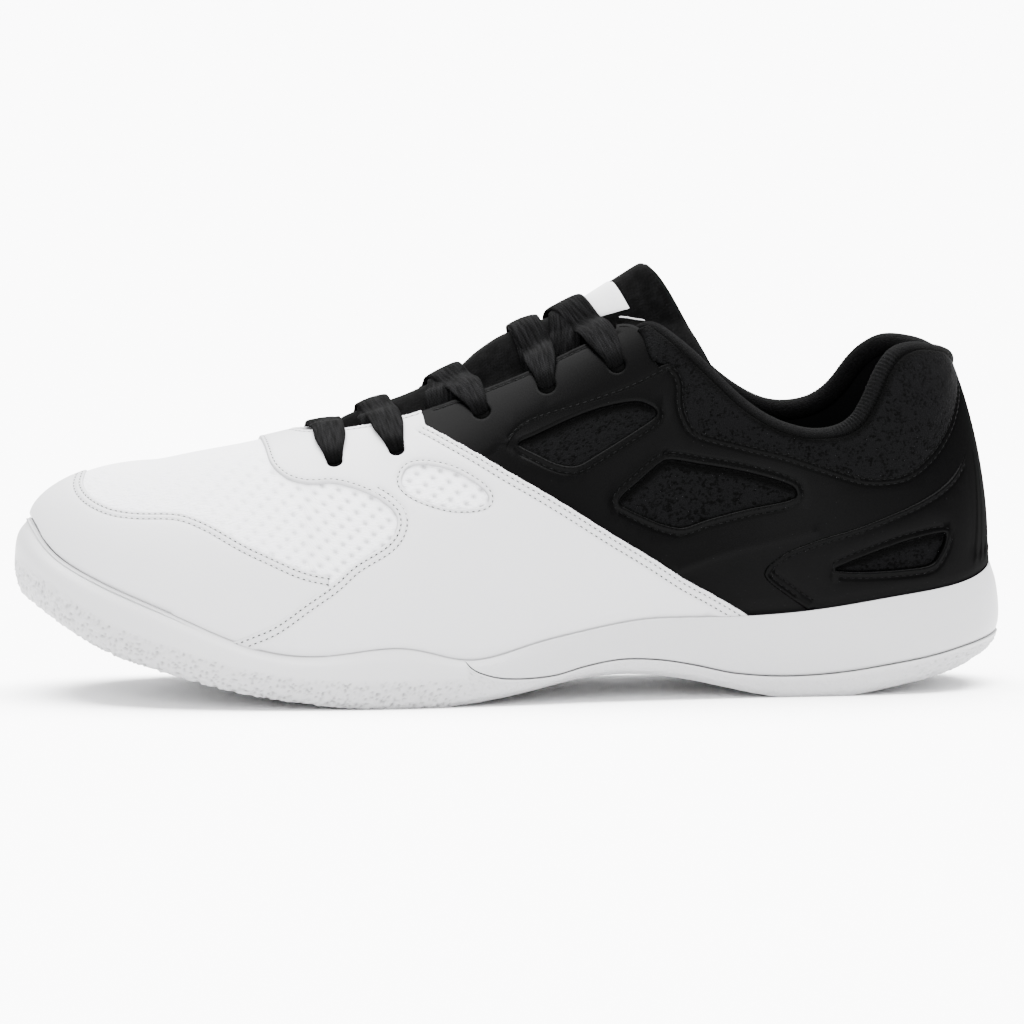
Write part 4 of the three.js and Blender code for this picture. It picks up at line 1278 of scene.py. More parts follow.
@dataclass
class Finishes:
    """All the materials of the shoe."""

    white_leather: bpy.types.Material = field(init=False)
    black_leather: bpy.types.Material = field(init=False)
    white_cloth: bpy.types.Material = field(init=False)
    black_cloth: bpy.types.Material = field(init=False)
    collar_cloth: bpy.types.Material = field(init=False)
    tongue_cloth: bpy.types.Material = field(init=False)
    lace_cloth: bpy.types.Material = field(init=False)
    roll_cloth: bpy.types.Material = field(init=False)
    lining: bpy.types.Material = field(init=False)
    rubber: bpy.types.Material = field(init=False)
    foam: bpy.types.Material = field(init=False)
    # Dark finishes painted as the shadow in needle holes and eyelets.
    dark_hole_shadow: bpy.types.Material = field(init=False)
    grey_hole_shadow: bpy.types.Material = field(init=False)
    white_thread: bpy.types.Material = field(init=False)
    black_thread: bpy.types.Material = field(init=False)
    label: bpy.types.Material = field(init=False)

    def __post_init__(self) -> None:
        """Builds each material."""
        self.white_leather = Leather("White leather", (0.31, 0.31, 0.317), (0.16, 0.16, 0.164), 0.5, 0.0,
                                     0.2).build()
        self.black_leather = Leather("Black leather", (0.0005, 0.0005, 0.00052),
                                     (0.00005, 0.00005, 0.00005), 0.5, 0.014, 0.0).build()
        self.white_cloth = Knit("White mesh", (0.40, 0.40, 0.415), (0.46, 0.46, 0.475), 1.4, 0.75,
                                0.8).build()
        self.black_cloth = Knit("Black mesh", (0.0001, 0.0001, 0.0001), (0.0012, 0.0012, 0.0013), 2.0,
                                0.58, clouds=0.6, softness=0.07).build()
        self.collar_cloth = Knit("Collar knit", (0.0001, 0.0001, 0.0001), (0.0012, 0.0012, 0.0013), 2.1,
                                 0.60, clouds=0.6, softness=0.07).build()
        self.tongue_cloth = Weave("Tongue weave", (0.0006, 0.0006, 0.0006), (0.0022, 0.0022, 0.0023), 1.1,
                                  (0.3, 2.4), 0.12 * MM, 0.10).build()
        self.lace_cloth = Weave("Lace weave", (0.0003, 0.0003, 0.0003), (0.0043, 0.0043, 0.0045), 0.9,
                                (0.10, 1.1), 0.40 * MM, 0.12, ramp=(0.46, 0.70), cloud_share=0.08).build()
        self.roll_cloth = Knit("Roll cloth", (0.0008, 0.0008, 0.0008), (0.0015, 0.0015, 0.0016), 2.6,
                               0.5).build()
        self.lining = Plain("Lining", (0.0008, 0.0008, 0.0009)).build()
        self.rubber = Rubber("Outsole rubber", (0.27, 0.27, 0.275), (0.10, 0.10, 0.102), 0.55, 1100.0,
                             0.35 * MM).build()
        self.foam = Rubber("Midsole foam", (0.25, 0.25, 0.256), (0.10, 0.10, 0.102), 0.5, 2600.0,
                           0.08 * MM).build()
        # Near black and dark grey, painted as the shadow in needle holes and eyelets.
        self.dark_hole_shadow = Plain("Needle hole shadow", (0.0002, 0.0002, 0.0002)).build()
        self.grey_hole_shadow = Plain("Needle hole shadow in white", (0.02, 0.02, 0.02)).build()
        self.white_thread = Plain("White thread", (0.33, 0.33, 0.335), 0.7).build()
        self.black_thread = Plain("Black thread", (0.0011, 0.0011, 0.0012), 0.6).build()
        self.label = Plain("Tongue label", (0.40, 0.40, 0.405), 0.7).build()


@dataclass
class Lines:
    """The outlines of the panels on one side: along and rise, chosen against the photo."""

    diagonal: tuple = ((0.422, 0.722), (0.443, 0.636), (0.467, 0.552), (0.498, 0.452), (0.546, 0.318),
                       (0.595, 0.195), (0.645, 0.100), (0.679, 0.053), (0.704, 0.016), (0.716, -0.010))
    guard: tuple = ((0.0, 0.717), (0.025, 0.672), (0.050, 0.598), (0.086, 0.524), (0.115, 0.492),
                    (0.141, 0.494), (0.175, 0.512), (0.195, 0.507), (0.220, 0.468), (0.250, 0.402),
                    (0.278, 0.352), (0.303, 0.308), (0.325, 0.282))
    loop: tuple = ((0.273, 1.000), (0.276, 0.863), (0.280, 0.745), (0.292, 0.665), (0.311, 0.620),
                   (0.334, 0.602), (0.355, 0.557), (0.374, 0.498), (0.386, 0.440), (0.385, 0.388),
                   (0.374, 0.348), (0.347, 0.306), (0.328, 0.255), (0.302, 0.192), (0.274, 0.105),
                   (0.255, 0.052), (0.237, -0.010))
    oval: tuple = ((0.395, 0.555), (0.402, 0.586), (0.418, 0.577), (0.443, 0.527), (0.465, 0.459),
                   (0.472, 0.418), (0.464, 0.404), (0.435, 0.426), (0.409, 0.472), (0.396, 0.518))
    stay_rear: tuple = ((0.599, 0.815), (0.611, 0.793), (0.620, 0.760), (0.628, 0.707), (0.631, 0.651),
                        (0.637, 0.589))
    seam: tuple = ((0.655, 0.580), (0.610, 0.556), (0.570, 0.561), (0.531, 0.578), (0.509, 0.578),
                   (0.497, 0.556), (0.488, 0.520), (0.478, 0.500))
    window_a: tuple = ((0.504, 0.541), (0.520, 0.543), (0.549, 0.546), (0.579, 0.541), (0.609, 0.523),
                       (0.621, 0.506), (0.630, 0.480), (0.625, 0.461), (0.597, 0.437), (0.571, 0.421),
                       (0.557, 0.415), (0.546, 0.424), (0.533, 0.449), (0.518, 0.490), (0.506, 0.525))
    window_b: tuple = ((0.593, 0.291), (0.613, 0.323), (0.632, 0.351), (0.642, 0.354), (0.670, 0.336),
                       (0.716, 0.315), (0.748, 0.293), (0.757, 0.276), (0.751, 0.259), (0.715, 0.241),
                       (0.677, 0.218), (0.654, 0.202), (0.642, 0.205), (0.625, 0.223), (0.602, 0.262))
    window_c: tuple = ((0.793, 0.100), (0.824, 0.123), (0.861, 0.144), (0.893, 0.150), (0.895, 0.132),
                       (0.889, 0.101), (0.879, 0.076), (0.852, 0.075), (0.819, 0.083), (0.796, 0.093))
    counter: tuple = ((0.772, -0.010), (0.748, 0.040), (0.728, 0.083), (0.727, 0.108), (0.738, 0.132),
                      (0.752, 0.151), (0.782, 0.174), (0.808, 0.187), (0.837, 0.206), (0.865, 0.228),
                      (0.890, 0.254), (0.910, 0.281), (0.929, 0.316), (0.948, 0.356), (0.960, 0.396),
                      (0.971, 0.440), (0.980, 0.485), (0.984, 0.525), (0.983, 0.560))
    collar_panel: tuple = ((0.653, 0.590), (0.659, 0.564), (0.662, 0.527), (0.661, 0.482), (0.664, 0.446),
                           (0.673, 0.418), (0.712, 0.390), (0.751, 0.367), (0.789, 0.335), (0.818, 0.309),
                           (0.839, 0.302), (0.860, 0.308), (0.884, 0.342), (0.907, 0.389), (0.930, 0.439),
                           (0.952, 0.483), (0.966, 0.511), (0.963, 0.545), (0.950, 0.575))


LINES = Lines()

# Eyelets: share of the length, of the collar height, and how far forward the lace leans to the other side.
EYELETS = ((0.3126, 0.665, 0.00), (0.3743, 0.698, 0.40), (0.4612, 0.801, 0.60), (0.5270, 0.872, 0.15),
           (0.5973, 0.931, 0.95))
EYELET_BORE = 4.4 * MM
EYELET_POINTS = 24
# The collar's roll: its thickness, where it starts, and its depth as a share of its thickness.
ROLL = 6.4 * MM
ROLL_START = 0.592
ROLL_DEPTH = 0.45
UPPER_WALL = 2 * MM
# The rise of the panels' lower edges, which the sole's rim covers.
FOOT_RISE = -0.012
# The rise of the edge above which the side is all outsole, as a share of the way up.
ALL_OUTSOLE = 0.995
# Where the eyestay's top ends and the knit comes forward to it.
STAY_END = 0.599


def flat_line(chart: Chart, rows: tuple, side: Side = Side.OUTER, closed: bool = False) -> np.ndarray:
    """Draws a smooth line on a map."""
    curve = curve_through(rows, closed)
    return chart.flat(curve[:, 0] * side.value, curve[:, 1])


def roll_size(t: np.ndarray) -> np.ndarray:
    """Gives the thickness of the collar's roll.

    Args:
        t: places along the loop.

    Returns:
        Thicknesses, 0 where there is none.
    """
    edge = LAST.edge_share(t)
    at = LAST.plain(t, edge)[..., 0] / LAST.length + 0.5
    return np.where(edge < 1, ROLL * smooth_step(at, ROLL_START, ROLL_START + 0.05), 0.0)


def top_share(t: np.ndarray) -> np.ndarray:
    """Gives how far up the panels go: to the opening's edge, or under the roll.

    Args:
        t: places along the loop.

    Returns:
        Rises.
    """
    edge = LAST.edge_share(t)
    hidden = np.maximum(roll_size(t) - 2.2 * MM, -0.3 * MM)
    return np.where(edge < 1, LAST.share_below(t, edge, hidden), 1.0)


def edge_run(chart: Chart, start: float, end: float, side: Side, count: int = 220) -> np.ndarray:
    """Follows the opening's edge.

    Args:
        chart: the map.
        start: the first place, as a share from toe to heel.
        end: the last place.
        side: the side.
        count: how many points.

    Returns:
        Flat points.
    """
    along = np.linspace(start, end, count)
    rise = top_share(np.mod(side.value * LAST.place(along), LAST.loop))
    return chart.flat(along * side.value, rise)


def foot_run(chart: Chart, start: float, end: float, side: Side = Side.OUTER, count: int = 160) -> np.ndarray:
    """Follows the foot line a little below the sole's rim."""
    along = np.linspace(start, end, count)
    return chart.flat(along * side.value, np.full(count, FOOT_RISE))


def eyelet_places() -> list[tuple[float, float]]:
    """Finds the eyelets of the outer side on the last.

    Returns:
        Their places along the loop and rises.
    """
    found = []
    for at, up, _ in EYELETS:
        goal = np.array([(at - 0.5) * LAST.length, up * LAST.collar_height])
        t, v = LAST.place(at + 0.02), 0.68
        for _ in range(30):
            here = LAST.plain(t, v)[[0, 2]]
            dt = (LAST.plain(t + MM, v)[[0, 2]] - here) / MM
            dv = (LAST.plain(t, v + 0.01)[[0, 2]] - here) / 0.01
            move = np.linalg.solve(np.stack([dt, dv], 1), goal - here)
            t, v = t + np.clip(move[0], -6 * MM, 6 * MM), v + np.clip(move[1], -0.05, 0.05)
        found.append((float(t), float(v)))
    return found


EYELET_PLACES = eyelet_places()


def ring_around(chart: Chart, centre: np.ndarray, radius: float,
                count: int = EYELET_POINTS) -> np.ndarray:
    """Draws a true circle on the last round a flat point.

    Args:
        chart: the map.
        centre: the flat point.
        radius: its radius.
        count: how many points.

    Returns:
        Flat points.
    """
    middle = np.repeat(centre[None, :], count, 0)
    n = chart.normal(middle)
    east = unit(np.cross(n, np.array([0.0, 0.0, 1.0])))
    north = np.cross(n, east)
    turn = (np.arange(count) / count * 2 * math.pi)[:, None]
    return chart.step(middle, (east * np.cos(turn) + north * np.sin(turn)) * radius)


@dataclass
class Sole:
    """Outsole, midsole and insole round the foot line."""

    columns: int = 1040
    rim_out: float = 1.75 * MM
    toe_rim: float = 0.90 * MM
    step_out: float = 0.7 * MM
    groove: float = 0.35 * MM
    rand_rows: int = 34
    rough: float = 0.50 * MM

    def profile(self, t: np.ndarray, s: np.ndarray,
                grow: np.ndarray | float = 0.0) -> tuple[np.ndarray, np.ndarray]:
        """Gives the sole's side from its lower edge to its rim.

        Args:
            t: places along the loop.
            s: shares of the way up.
            grow: how far the lower sole steps out.

        Returns:
            How far out from the foot line, and heights.
        """
        low = np.maximum(0.0, LAST.ground_z(t))
        belly, rim, lip, tuck = LAST.belly_z(t), LAST.rim_z(t), LAST.lip(t), LAST.tuck(t)
        at = LAST.foot_x(t) / LAST.length + 0.5
        edge = self.rim_out - self.toe_rim * smooth_step(at, 0.34, 0.22)
        outs = [lip - tuck, lip - 0.35 * tuck, lip - 0.06 * tuck, lip, lip * 0.82 - 0.15 * MM, edge + 0 * t]
        ups = [low, low + (belly - low) * 0.22, low + (belly - low) * 0.6, belly,
               belly + (rim - belly) * 0.6, rim]
        stops = np.array([0.0, 0.13, 0.33, 0.52, 0.80, 1.0])
        k = np.clip(np.searchsorted(stops, s, side="right") - 1, 0, 4)
        f = (s - stops[k]) / (stops[k + 1] - stops[k])

        def through(values: list[np.ndarray]) -> np.ndarray:
            """Runs a smooth curve through six values.

            Args:
                values: the values at the stops.

            Returns:
                The curve's value at each place.
            """
            table = np.stack(np.broadcast_arrays(*values))
            slope = np.stack([(table[min(5, i + 1)] - table[max(0, i - 1)])
                              / (stops[min(5, i + 1)] - stops[max(0, i - 1)])
                              for i in range(6)])
            i = np.broadcast_to(k, t.shape)
            cols = np.indices(t.shape)
            a, b = table[(i, *cols)], table[(i + 1, *cols)]
            width = stops[k + 1] - stops[k]
            ma, mb = slope[(i, *cols)] * width, slope[(i + 1, *cols)] * width
            return ((2 * f ** 3 - 3 * f ** 2 + 1) * a + (f ** 3 - 2 * f ** 2 + f) * ma
                    + (-2 * f ** 3 + 3 * f ** 2) * b + (f ** 3 - f ** 2) * mb)

        return through(outs) + grow * (1 - s), through(ups)

    def line_share(self, t: np.ndarray) -> np.ndarray:
        """Finds where the line between outsole and midsole crosses the side.

        Args:
            t: places along the loop.

        Returns:
            Shares of the way up, 1 where the outsole reaches the rim.
        """
        low, high = np.zeros_like(t), np.ones_like(t)
        for _ in range(24):
            mid = (low + high) / 2
            out, z = self.profile(t, mid)
            x = LAST.foot(t, out, z)[..., 0]
            at = (x - LAST.frame_shift[0]) / LAST.length + 0.5
            under = (z < LAST.line_up(at) * LAST.sole_height) | (at < MIDSOLE_LINE[0][0])
            low, high = np.where(under, mid, low), np.where(under, high, mid)
        return high

    def tread(self, x: np.ndarray, y: np.ndarray) -> np.ndarray:
        """Gives how deep the tread is cut: slanted bars with a pivot ring under the ball and flex grooves.

        Args:
            x: lengthwise places.
            y: crosswise places.

        Returns:
            Depths, 0 to 1.
        """
        pitch = 6.5 * MM
        wave = np.abs(np.mod((x + np.abs(y) * 0.55) / pitch, 1.0) - 0.5) * 2
        bars = smooth_step(wave, 0.62, 0.82)
        ring = np.hypot(x + 52 * MM, y)
        rings = smooth_step(np.abs(np.mod(ring / (5.2 * MM), 1.0) - 0.5) * 2, 0.60, 0.80)
        inside_ring = smooth_step(ring, 25 * MM, 24 * MM)
        border = np.exp(-((ring - 25.5 * MM) / (1.2 * MM)) ** 2)
        return np.maximum(bars * (1 - inside_ring) + rings * inside_ring, border)

    @staticmethod
    def worn(at: np.ndarray) -> np.ndarray:
        """Gives how crumbly the lower side is: most at the toe, less at the waist, some at the heel."""
        return 0.15 + 0.85 * smooth_step(at, 0.50, 0.36) + 0.5 * smooth_step(at, 0.84, 0.93)

    @staticmethod
    def crumbs(t: np.ndarray, z: np.ndarray) -> np.ndarray:
        """Gives an uneven crumbly relief.

        Args:
            t: places along the loop.
            z: heights.

        Returns:
            Heights of the relief, about -1 to 1.
        """
        u, v = t / MM, z / MM
        coarse = np.sin(1.9 * u + 1.7 * np.sin(1.3 * v + 0.4 * u)) * np.sin(2.6 * v + 1.5 * np.sin(1.1 * u))
        fine = np.sin(3.9 * u + 2.1 * np.sin(2.9 * v)) * np.sin(4.6 * v + 1.9 * np.sin(2.3 * u + 1.0))
        return 0.65 * coarse + 0.35 * fine

    def build_outsole(self, finishes: Finishes) -> None:
        """Makes the outsole: its side all round, with the rand at the toe, and its treaded bottom.

        Args:
            finishes: the materials.
        """
        half = self.columns // 2
        t = np.arange(self.columns) / self.columns * LAST.loop
        at = LAST.foot_x(t) / LAST.length + 0.5
        top = self.line_share(t)
        grow = self.step_out * smooth_step(at, 0.45, 0.75)
        rows, pebble, shade = [], [], []
        for k in range(self.rand_rows + 1):
            s = top * k / self.rand_rows
            out, z = self.profile(t, s, grow)
            stippled = np.where(top > ALL_OUTSOLE, smooth_step(s, 0.56, 0.40),
                                smooth_step(s, top - 0.02, top - 0.10))
            crumb = self.crumbs(t, z) * self.rough * stippled * self.worn(at)
            height = z - np.where(top < ALL_OUTSOLE, self.groove, 0.0) * (k / self.rand_rows) ** 8
            rows.append(LAST.foot(t, out + crumb, np.maximum(0.0, height - 0.6 * crumb)))
            pebble.append(stippled)
            # Painted shade: darker in the pits of the crumbs, along the top row and a little over the
            # stippled band.
            shade.append(0.25 * (k == self.rand_rows) + 1.7 * np.clip(-crumb / self.rough - 0.15, 0, 1)
                         + 0.15 * stippled)
        free = top > ALL_OUTSOLE
        out, z = self.profile(t, top, grow)
        for inward, rise in ((0.35, 0.28), (0.75, -0.1), (0.95, -1.2), (1.0, -3.0)):
            outward = np.where(free, out - inward * 0.6 * MM, out - inward * 3.0 * MM)
            height = np.where(free, z + rise * MM * np.where(rise > 0, 0.6, 1.0),
                              z - self.groove + 0.15 * MM * (rise > 0))
            rows.append(LAST.foot(t, outward, height))
            pebble.append(np.zeros_like(t))
            # Painted shade on the rows that turn inward at the top: light where the outsole reaches the rim,
            # darker in the groove at the midsole.
            shade.append(np.where(free, 0.1, 0.5))
        side_points = np.concatenate(rows)
        faces = grid_faces(len(rows), self.columns, True).tolist()
        across = 64
        ring = rows[0]
        start = len(side_points)
        i = np.arange(half + 1)
        near, far = ring[i], ring[(self.columns - i) % self.columns]
        w = (np.arange(across + 1) / across)[None, :, None]
        bottom = near[:, None, :] * (1 - w) + far[:, None, :] * w
        rim_gap = np.minimum(w[..., 0], 1 - w[..., 0]) * np.linalg.norm(far - near, axis=1)[:, None]
        depth = self.tread(bottom[..., 0], bottom[..., 1]) * smooth_step(rim_gap, 2.5 * MM, 5.0 * MM)
        bottom[..., 2] += 1.6 * MM * depth
        points = np.concatenate([side_points, bottom.reshape(-1, 3)])
        flip = [f[::-1] for f in (grid_faces(half + 1, across + 1, False) + start).tolist()]
        # Painted shade in the tread's cuts.
        shade = np.concatenate([np.concatenate(shade), 0.4 * depth.ravel()])
        pebbles = np.concatenate([np.concatenate(pebble), np.zeros(bottom[..., 0].size)])
        piece = add_piece("outsole_dressed", points, faces + flip, finishes.rubber, "outsole_rubber",
                          points[:, :2], shade)
        self.keep_pebbles(piece, pebbles)
        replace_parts(piece, "outsole")

    def keep_pebbles(self, piece: bpy.types.Object, pebbles: np.ndarray) -> None:
        """Keeps the pebbled share as an attribute."""
        attribute = piece.data.attributes.new("pebble", "FLOAT", "POINT")
        attribute.data.foreach_set("value", pebbles)

    def build_midsole(self, finishes: Finishes) -> None:
        """Makes the midsole from the notch round the heel to the other notch.

        Args:
            finishes: the materials.
        """
        t = np.arange(self.columns + 1) / self.columns * LAST.loop
        share = self.line_share(t)
        kept = np.nonzero(share < 0.985)[0]
        t = t[kept[0] - 1:kept[-1] + 2]
        share = np.minimum(self.line_share(t), 0.999)
        rows, shade = [], []
        count = 18
        for inward, k in ((3.2, 0), (0.5, 0), (0.12, 0)):
            out, z = self.profile(t, share + (1 - share) * k)
            rows.append(LAST.foot(t, out - inward * MM, z + (0.15 if inward < 0.4 else 0.0) * MM))
            # Painted shade on the rows tucked in at the line with the outsole.
            shade.append(np.full_like(t, 0.6 if inward > 0.4 else 0.2))
        for k in range(1, count + 1):
            out, z = self.profile(t, share + (1 - share) * k / count)
            rows.append(LAST.foot(t, out, z))
            shade.append(np.zeros_like(t))
        rim = LAST.rim_z(t)
        for out, rise in ((1.5, 0.22), (1.25, 0.1), (1.15, -0.8), (1.1, -3.0)):
            rows.append(LAST.foot(t, np.full_like(t, out * MM), rim + rise * MM))
            # Painted shade on the rows that turn in at the top, under the upper.
            shade.append(np.full_like(t, 0.35))
        points = np.concatenate(rows)
        piece = add_piece("midsole_dressed", points, grid_faces(len(rows), len(t), False), finishes.foam,
                          "midsole_foam", points[:, :2], np.concatenate(shade))
        self.keep_pebbles(piece, np.ones(len(points)))
        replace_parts(piece, "midsole")

    def build_insole(self, finishes: Finishes) -> None:
        """Makes the insole inside the wall.

        Args:
            finishes: the materials.
        """
        count = 240
        t = np.arange(count) / count * LAST.loop
        floor = LAST.floor_z(t)
        inward = -(UPPER_WALL + 0.6 * MM)
        rings = [LAST.foot(t, np.full_like(t, inward - out * MM), floor + up * MM)
                 for out, up in ((1.2, 0.3), (0.2, 0.8), (0.0, 1.6), (0.0, 3.0), (0.5, 3.7), (1.8, 4.0))]
        points = np.concatenate(rings)
        faces = grid_faces(len(rings), count, True).tolist()
        half, across = count // 2, 30
        for ring_index, flip in ((0, True), (len(rings) - 1, False)):
            ring = rings[ring_index]
            i = np.arange(half + 1)
            near, far = ring[i], ring[(count - i) % count]
            w = (np.arange(across + 1) / across)[None, :, None]
            sheet = near[:, None, :] * (1 - w) + far[:, None, :] * w
            more = grid_faces(half + 1, across + 1, False) + len(points)
            faces += [f[::-1] if flip else f for f in more.tolist()]
            points = np.concatenate([points, sheet.reshape(-1, 3)])
        piece = add_piece("insole_dressed", points, faces, finishes.lining, "insole_cloth", points[:, :2])
        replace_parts(piece, "insole")

    def build(self, finishes: Finishes) -> None:
        """Makes all of the sole.

        Args:
            finishes: the materials.
        """
        self.build_outsole(finishes)
        self.build_midsole(finishes)
        self.build_insole(finishes)


@dataclass
class Upper:
    """The cloth shell under the panels, its lining and the dimpled mesh of the vamp."""

    columns: int = 560
    rows: int = 64
    dimple_pitch: tuple[float, float] = (4.5 * MM, 2.45 * MM)
    dimple_slope: float = 0.24
    dimple_depth: float = 0.32 * MM
    cloth_lift: float = 0.36 * MM
    window_shadow: float = 3.0 * MM

    def shell_rows(self, t: np.ndarray, offset: float) -> np.ndarray:
        """Gives the shell's points, row after row.

        Args:
            t: places along the loop.
            offset: how far out.

        Returns:
            Points, rows first.
        """
        high = np.where(LAST.edge_share(t) < 1, LAST.share_below(t, top_share(t), 0.2 * MM), 1.0)
        v = (np.linspace(0, 1, self.rows)[:, None]) * high[None, :]
        body = LAST.point(np.broadcast_to(t, v.shape), v, np.full(v.shape, offset))
        low = body[:1].copy()
        low[..., 2] = LAST.floor_z(t) + 0.3 * MM
        return np.concatenate([low, body])

    def build_shell(self, finishes: Finishes) -> None:
        """Makes the black cloth shell with its lining.

        Args:
            finishes: the materials.
        """
        t = np.arange(self.columns) / self.columns * LAST.loop
        outer, inner = self.shell_rows(t, -0.05 * MM), self.shell_rows(t, -UPPER_WALL)
        rows = np.concatenate([outer, inner[::-1]])
        points = rows.reshape(-1, 3)
        faces = grid_faces(len(rows), self.columns, True)
        close = (np.linalg.norm(points[faces[:, 0]] - points[faces[:, 3]], axis=1)
                 + np.linalg.norm(points[faces[:, 1]] - points[faces[:, 2]], axis=1))
        bridge = (faces[:, 0] // self.columns) == len(outer) - 1
        edge = LAST.edge_share(t)
        column = faces[:, 0] % self.columns
        shut = bridge & (edge[column] >= 1) & (edge[(column + 1) % self.columns] >= 1)
        faces = faces[~shut & (close > 1e-6)]
        ways = np.concatenate([np.zeros((1, self.columns)),
                               np.cumsum(np.linalg.norm(np.diff(rows, axis=0), axis=2), 0)])
        uv = np.stack([np.broadcast_to(t, ways.shape), ways], -1).reshape(-1, 2)
        piece = add_piece("upper_shell", points, faces, finishes.lining, "upper_mesh", uv)
        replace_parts(piece, "upper")

    def build_vamp(self, finishes: Finishes) -> None:
        """Makes the white mesh over the toes, with its rows of soft dimples and painted shade in them.

        Args:
            finishes: the materials.
        """
        along = np.linspace(-0.475, 0.475, 521)
        t = np.mod(LAST.place(along), LAST.loop)
        edge = LAST.edge_share(t)
        high = np.where(edge < 1, LAST.share_below(t, edge, 1.5 * MM), 1.0)
        low = 0.10 + 0.12 * smooth_step(np.abs(along), 0.2, 0.4)
        rise = low[None, :] + (high - low)[None, :] * np.linspace(0, 1, 110)[:, None]
        place = np.broadcast_to(t, rise.shape)
        plain = LAST.point(place, rise, np.zeros(rise.shape))
        ways = np.linalg.norm(np.diff(plain, axis=0), axis=2)
        ways = np.concatenate([np.cumsum(ways[::-1], 0)[::-1], np.zeros((1, len(t)))])
        x = plain[..., 0]
        line = (plain[..., 2] + self.dimple_slope * x) / self.dimple_pitch[1]
        row = np.floor(line)
        across = np.mod(x / self.dimple_pitch[0] + 0.5 * np.mod(row, 2), 1.0) - 0.5
        upright = (line - row - 0.5) * self.dimple_pitch[1]
        gap = np.hypot(across * self.dimple_pitch[0] * 0.8, upright)
        strength = 0.12 + 0.88 * smooth_step(x, -0.105, -0.045)
        strength = strength * smooth_step(rise, 0.90, 0.62)
        dimple = np.exp(-(gap / (0.62 * MM)) ** 2) * strength
        quilt = np.cos(across * 2 * math.pi) * np.cos((line - row - 0.5) * 2 * math.pi)
        covered = smooth_step(rise, 0.58, 0.64) * smooth_step(np.abs(along), 0.40, 0.43)[None, :]
        offset = self.cloth_lift * (1 - covered) - self.dimple_depth * dimple - 0.05 * MM * quilt * strength
        points = LAST.point(place, rise, offset).reshape(-1, 3)
        uv = np.stack([x, ways], -1).reshape(-1, 2)
        faces = grid_faces(rise.shape[0], rise.shape[1], False)
        # The dimples get painted shade.
        add_piece("vamp_mesh", points, faces, finishes.white_cloth, "upper_mesh", uv, (0.8 * dimple).ravel())

    def build_rear(self, finishes: Finishes) -> None:
        """Makes the heathered black mesh that the rear windows show, with a painted shadow under the windows'
        rims.

        Args:
            finishes: the materials.
        """
        for side in Side:
            along = np.linspace(0.50, 0.93, 330)
            t = np.mod(side.value * LAST.place(along), LAST.loop)
            high = np.minimum(0.57, LAST.share_below(t, top_share(t), 1.0 * MM))
            rise = 0.03 + (high - 0.03)[None, :] * np.linspace(0, 1, 96)[:, None]
            place = np.broadcast_to(t, rise.shape)
            points = LAST.point(place, rise, np.full(rise.shape, 0.05 * MM))
            uv = np.stack([points[..., 0], rise * MAP_HEIGHT], -1).reshape(-1, 2)
            faces = grid_faces(rise.shape[0], rise.shape[1], False)
            faces = faces if side is Side.OUTER else faces[:, ::-1]
            points = points.reshape(-1, 3)
            rims = [flat_line(Chart.SIDE, rows, side, True)
                    for rows in (LINES.window_a, LINES.window_b, LINES.window_c)]
            rim = np.concatenate([Chart.SIDE.point(even(Chart.SIDE, loop, 0.4 * MM, True)) for loop in rims])
            # Painted shadow: the mesh darkens near each window's rim, most where the rim lies above it and
            # towards the toe.
            away, index = nearest(rim, points)
            towards = (rim[index] - points) / np.maximum(away, 0.1 * MM)[:, None]
            above = np.clip(0.50 + 0.80 * (towards[:, 2] - 0.35 * towards[:, 0]), 0, 1)
            shade = above * smooth_step(away, self.window_shadow, 0.4 * self.window_shadow)
            add_piece(f"rear_mesh_{side.name.lower()}", points, faces, finishes.black_cloth, "upper_mesh",
                      uv, shade)

    def build(self, finishes: Finishes) -> None:
        """Makes all of the cloth.

        Args:
            finishes: the materials.
        """
        self.build_shell(finishes)
        self.build_vamp(finishes)
        self.build_rear(finishes)


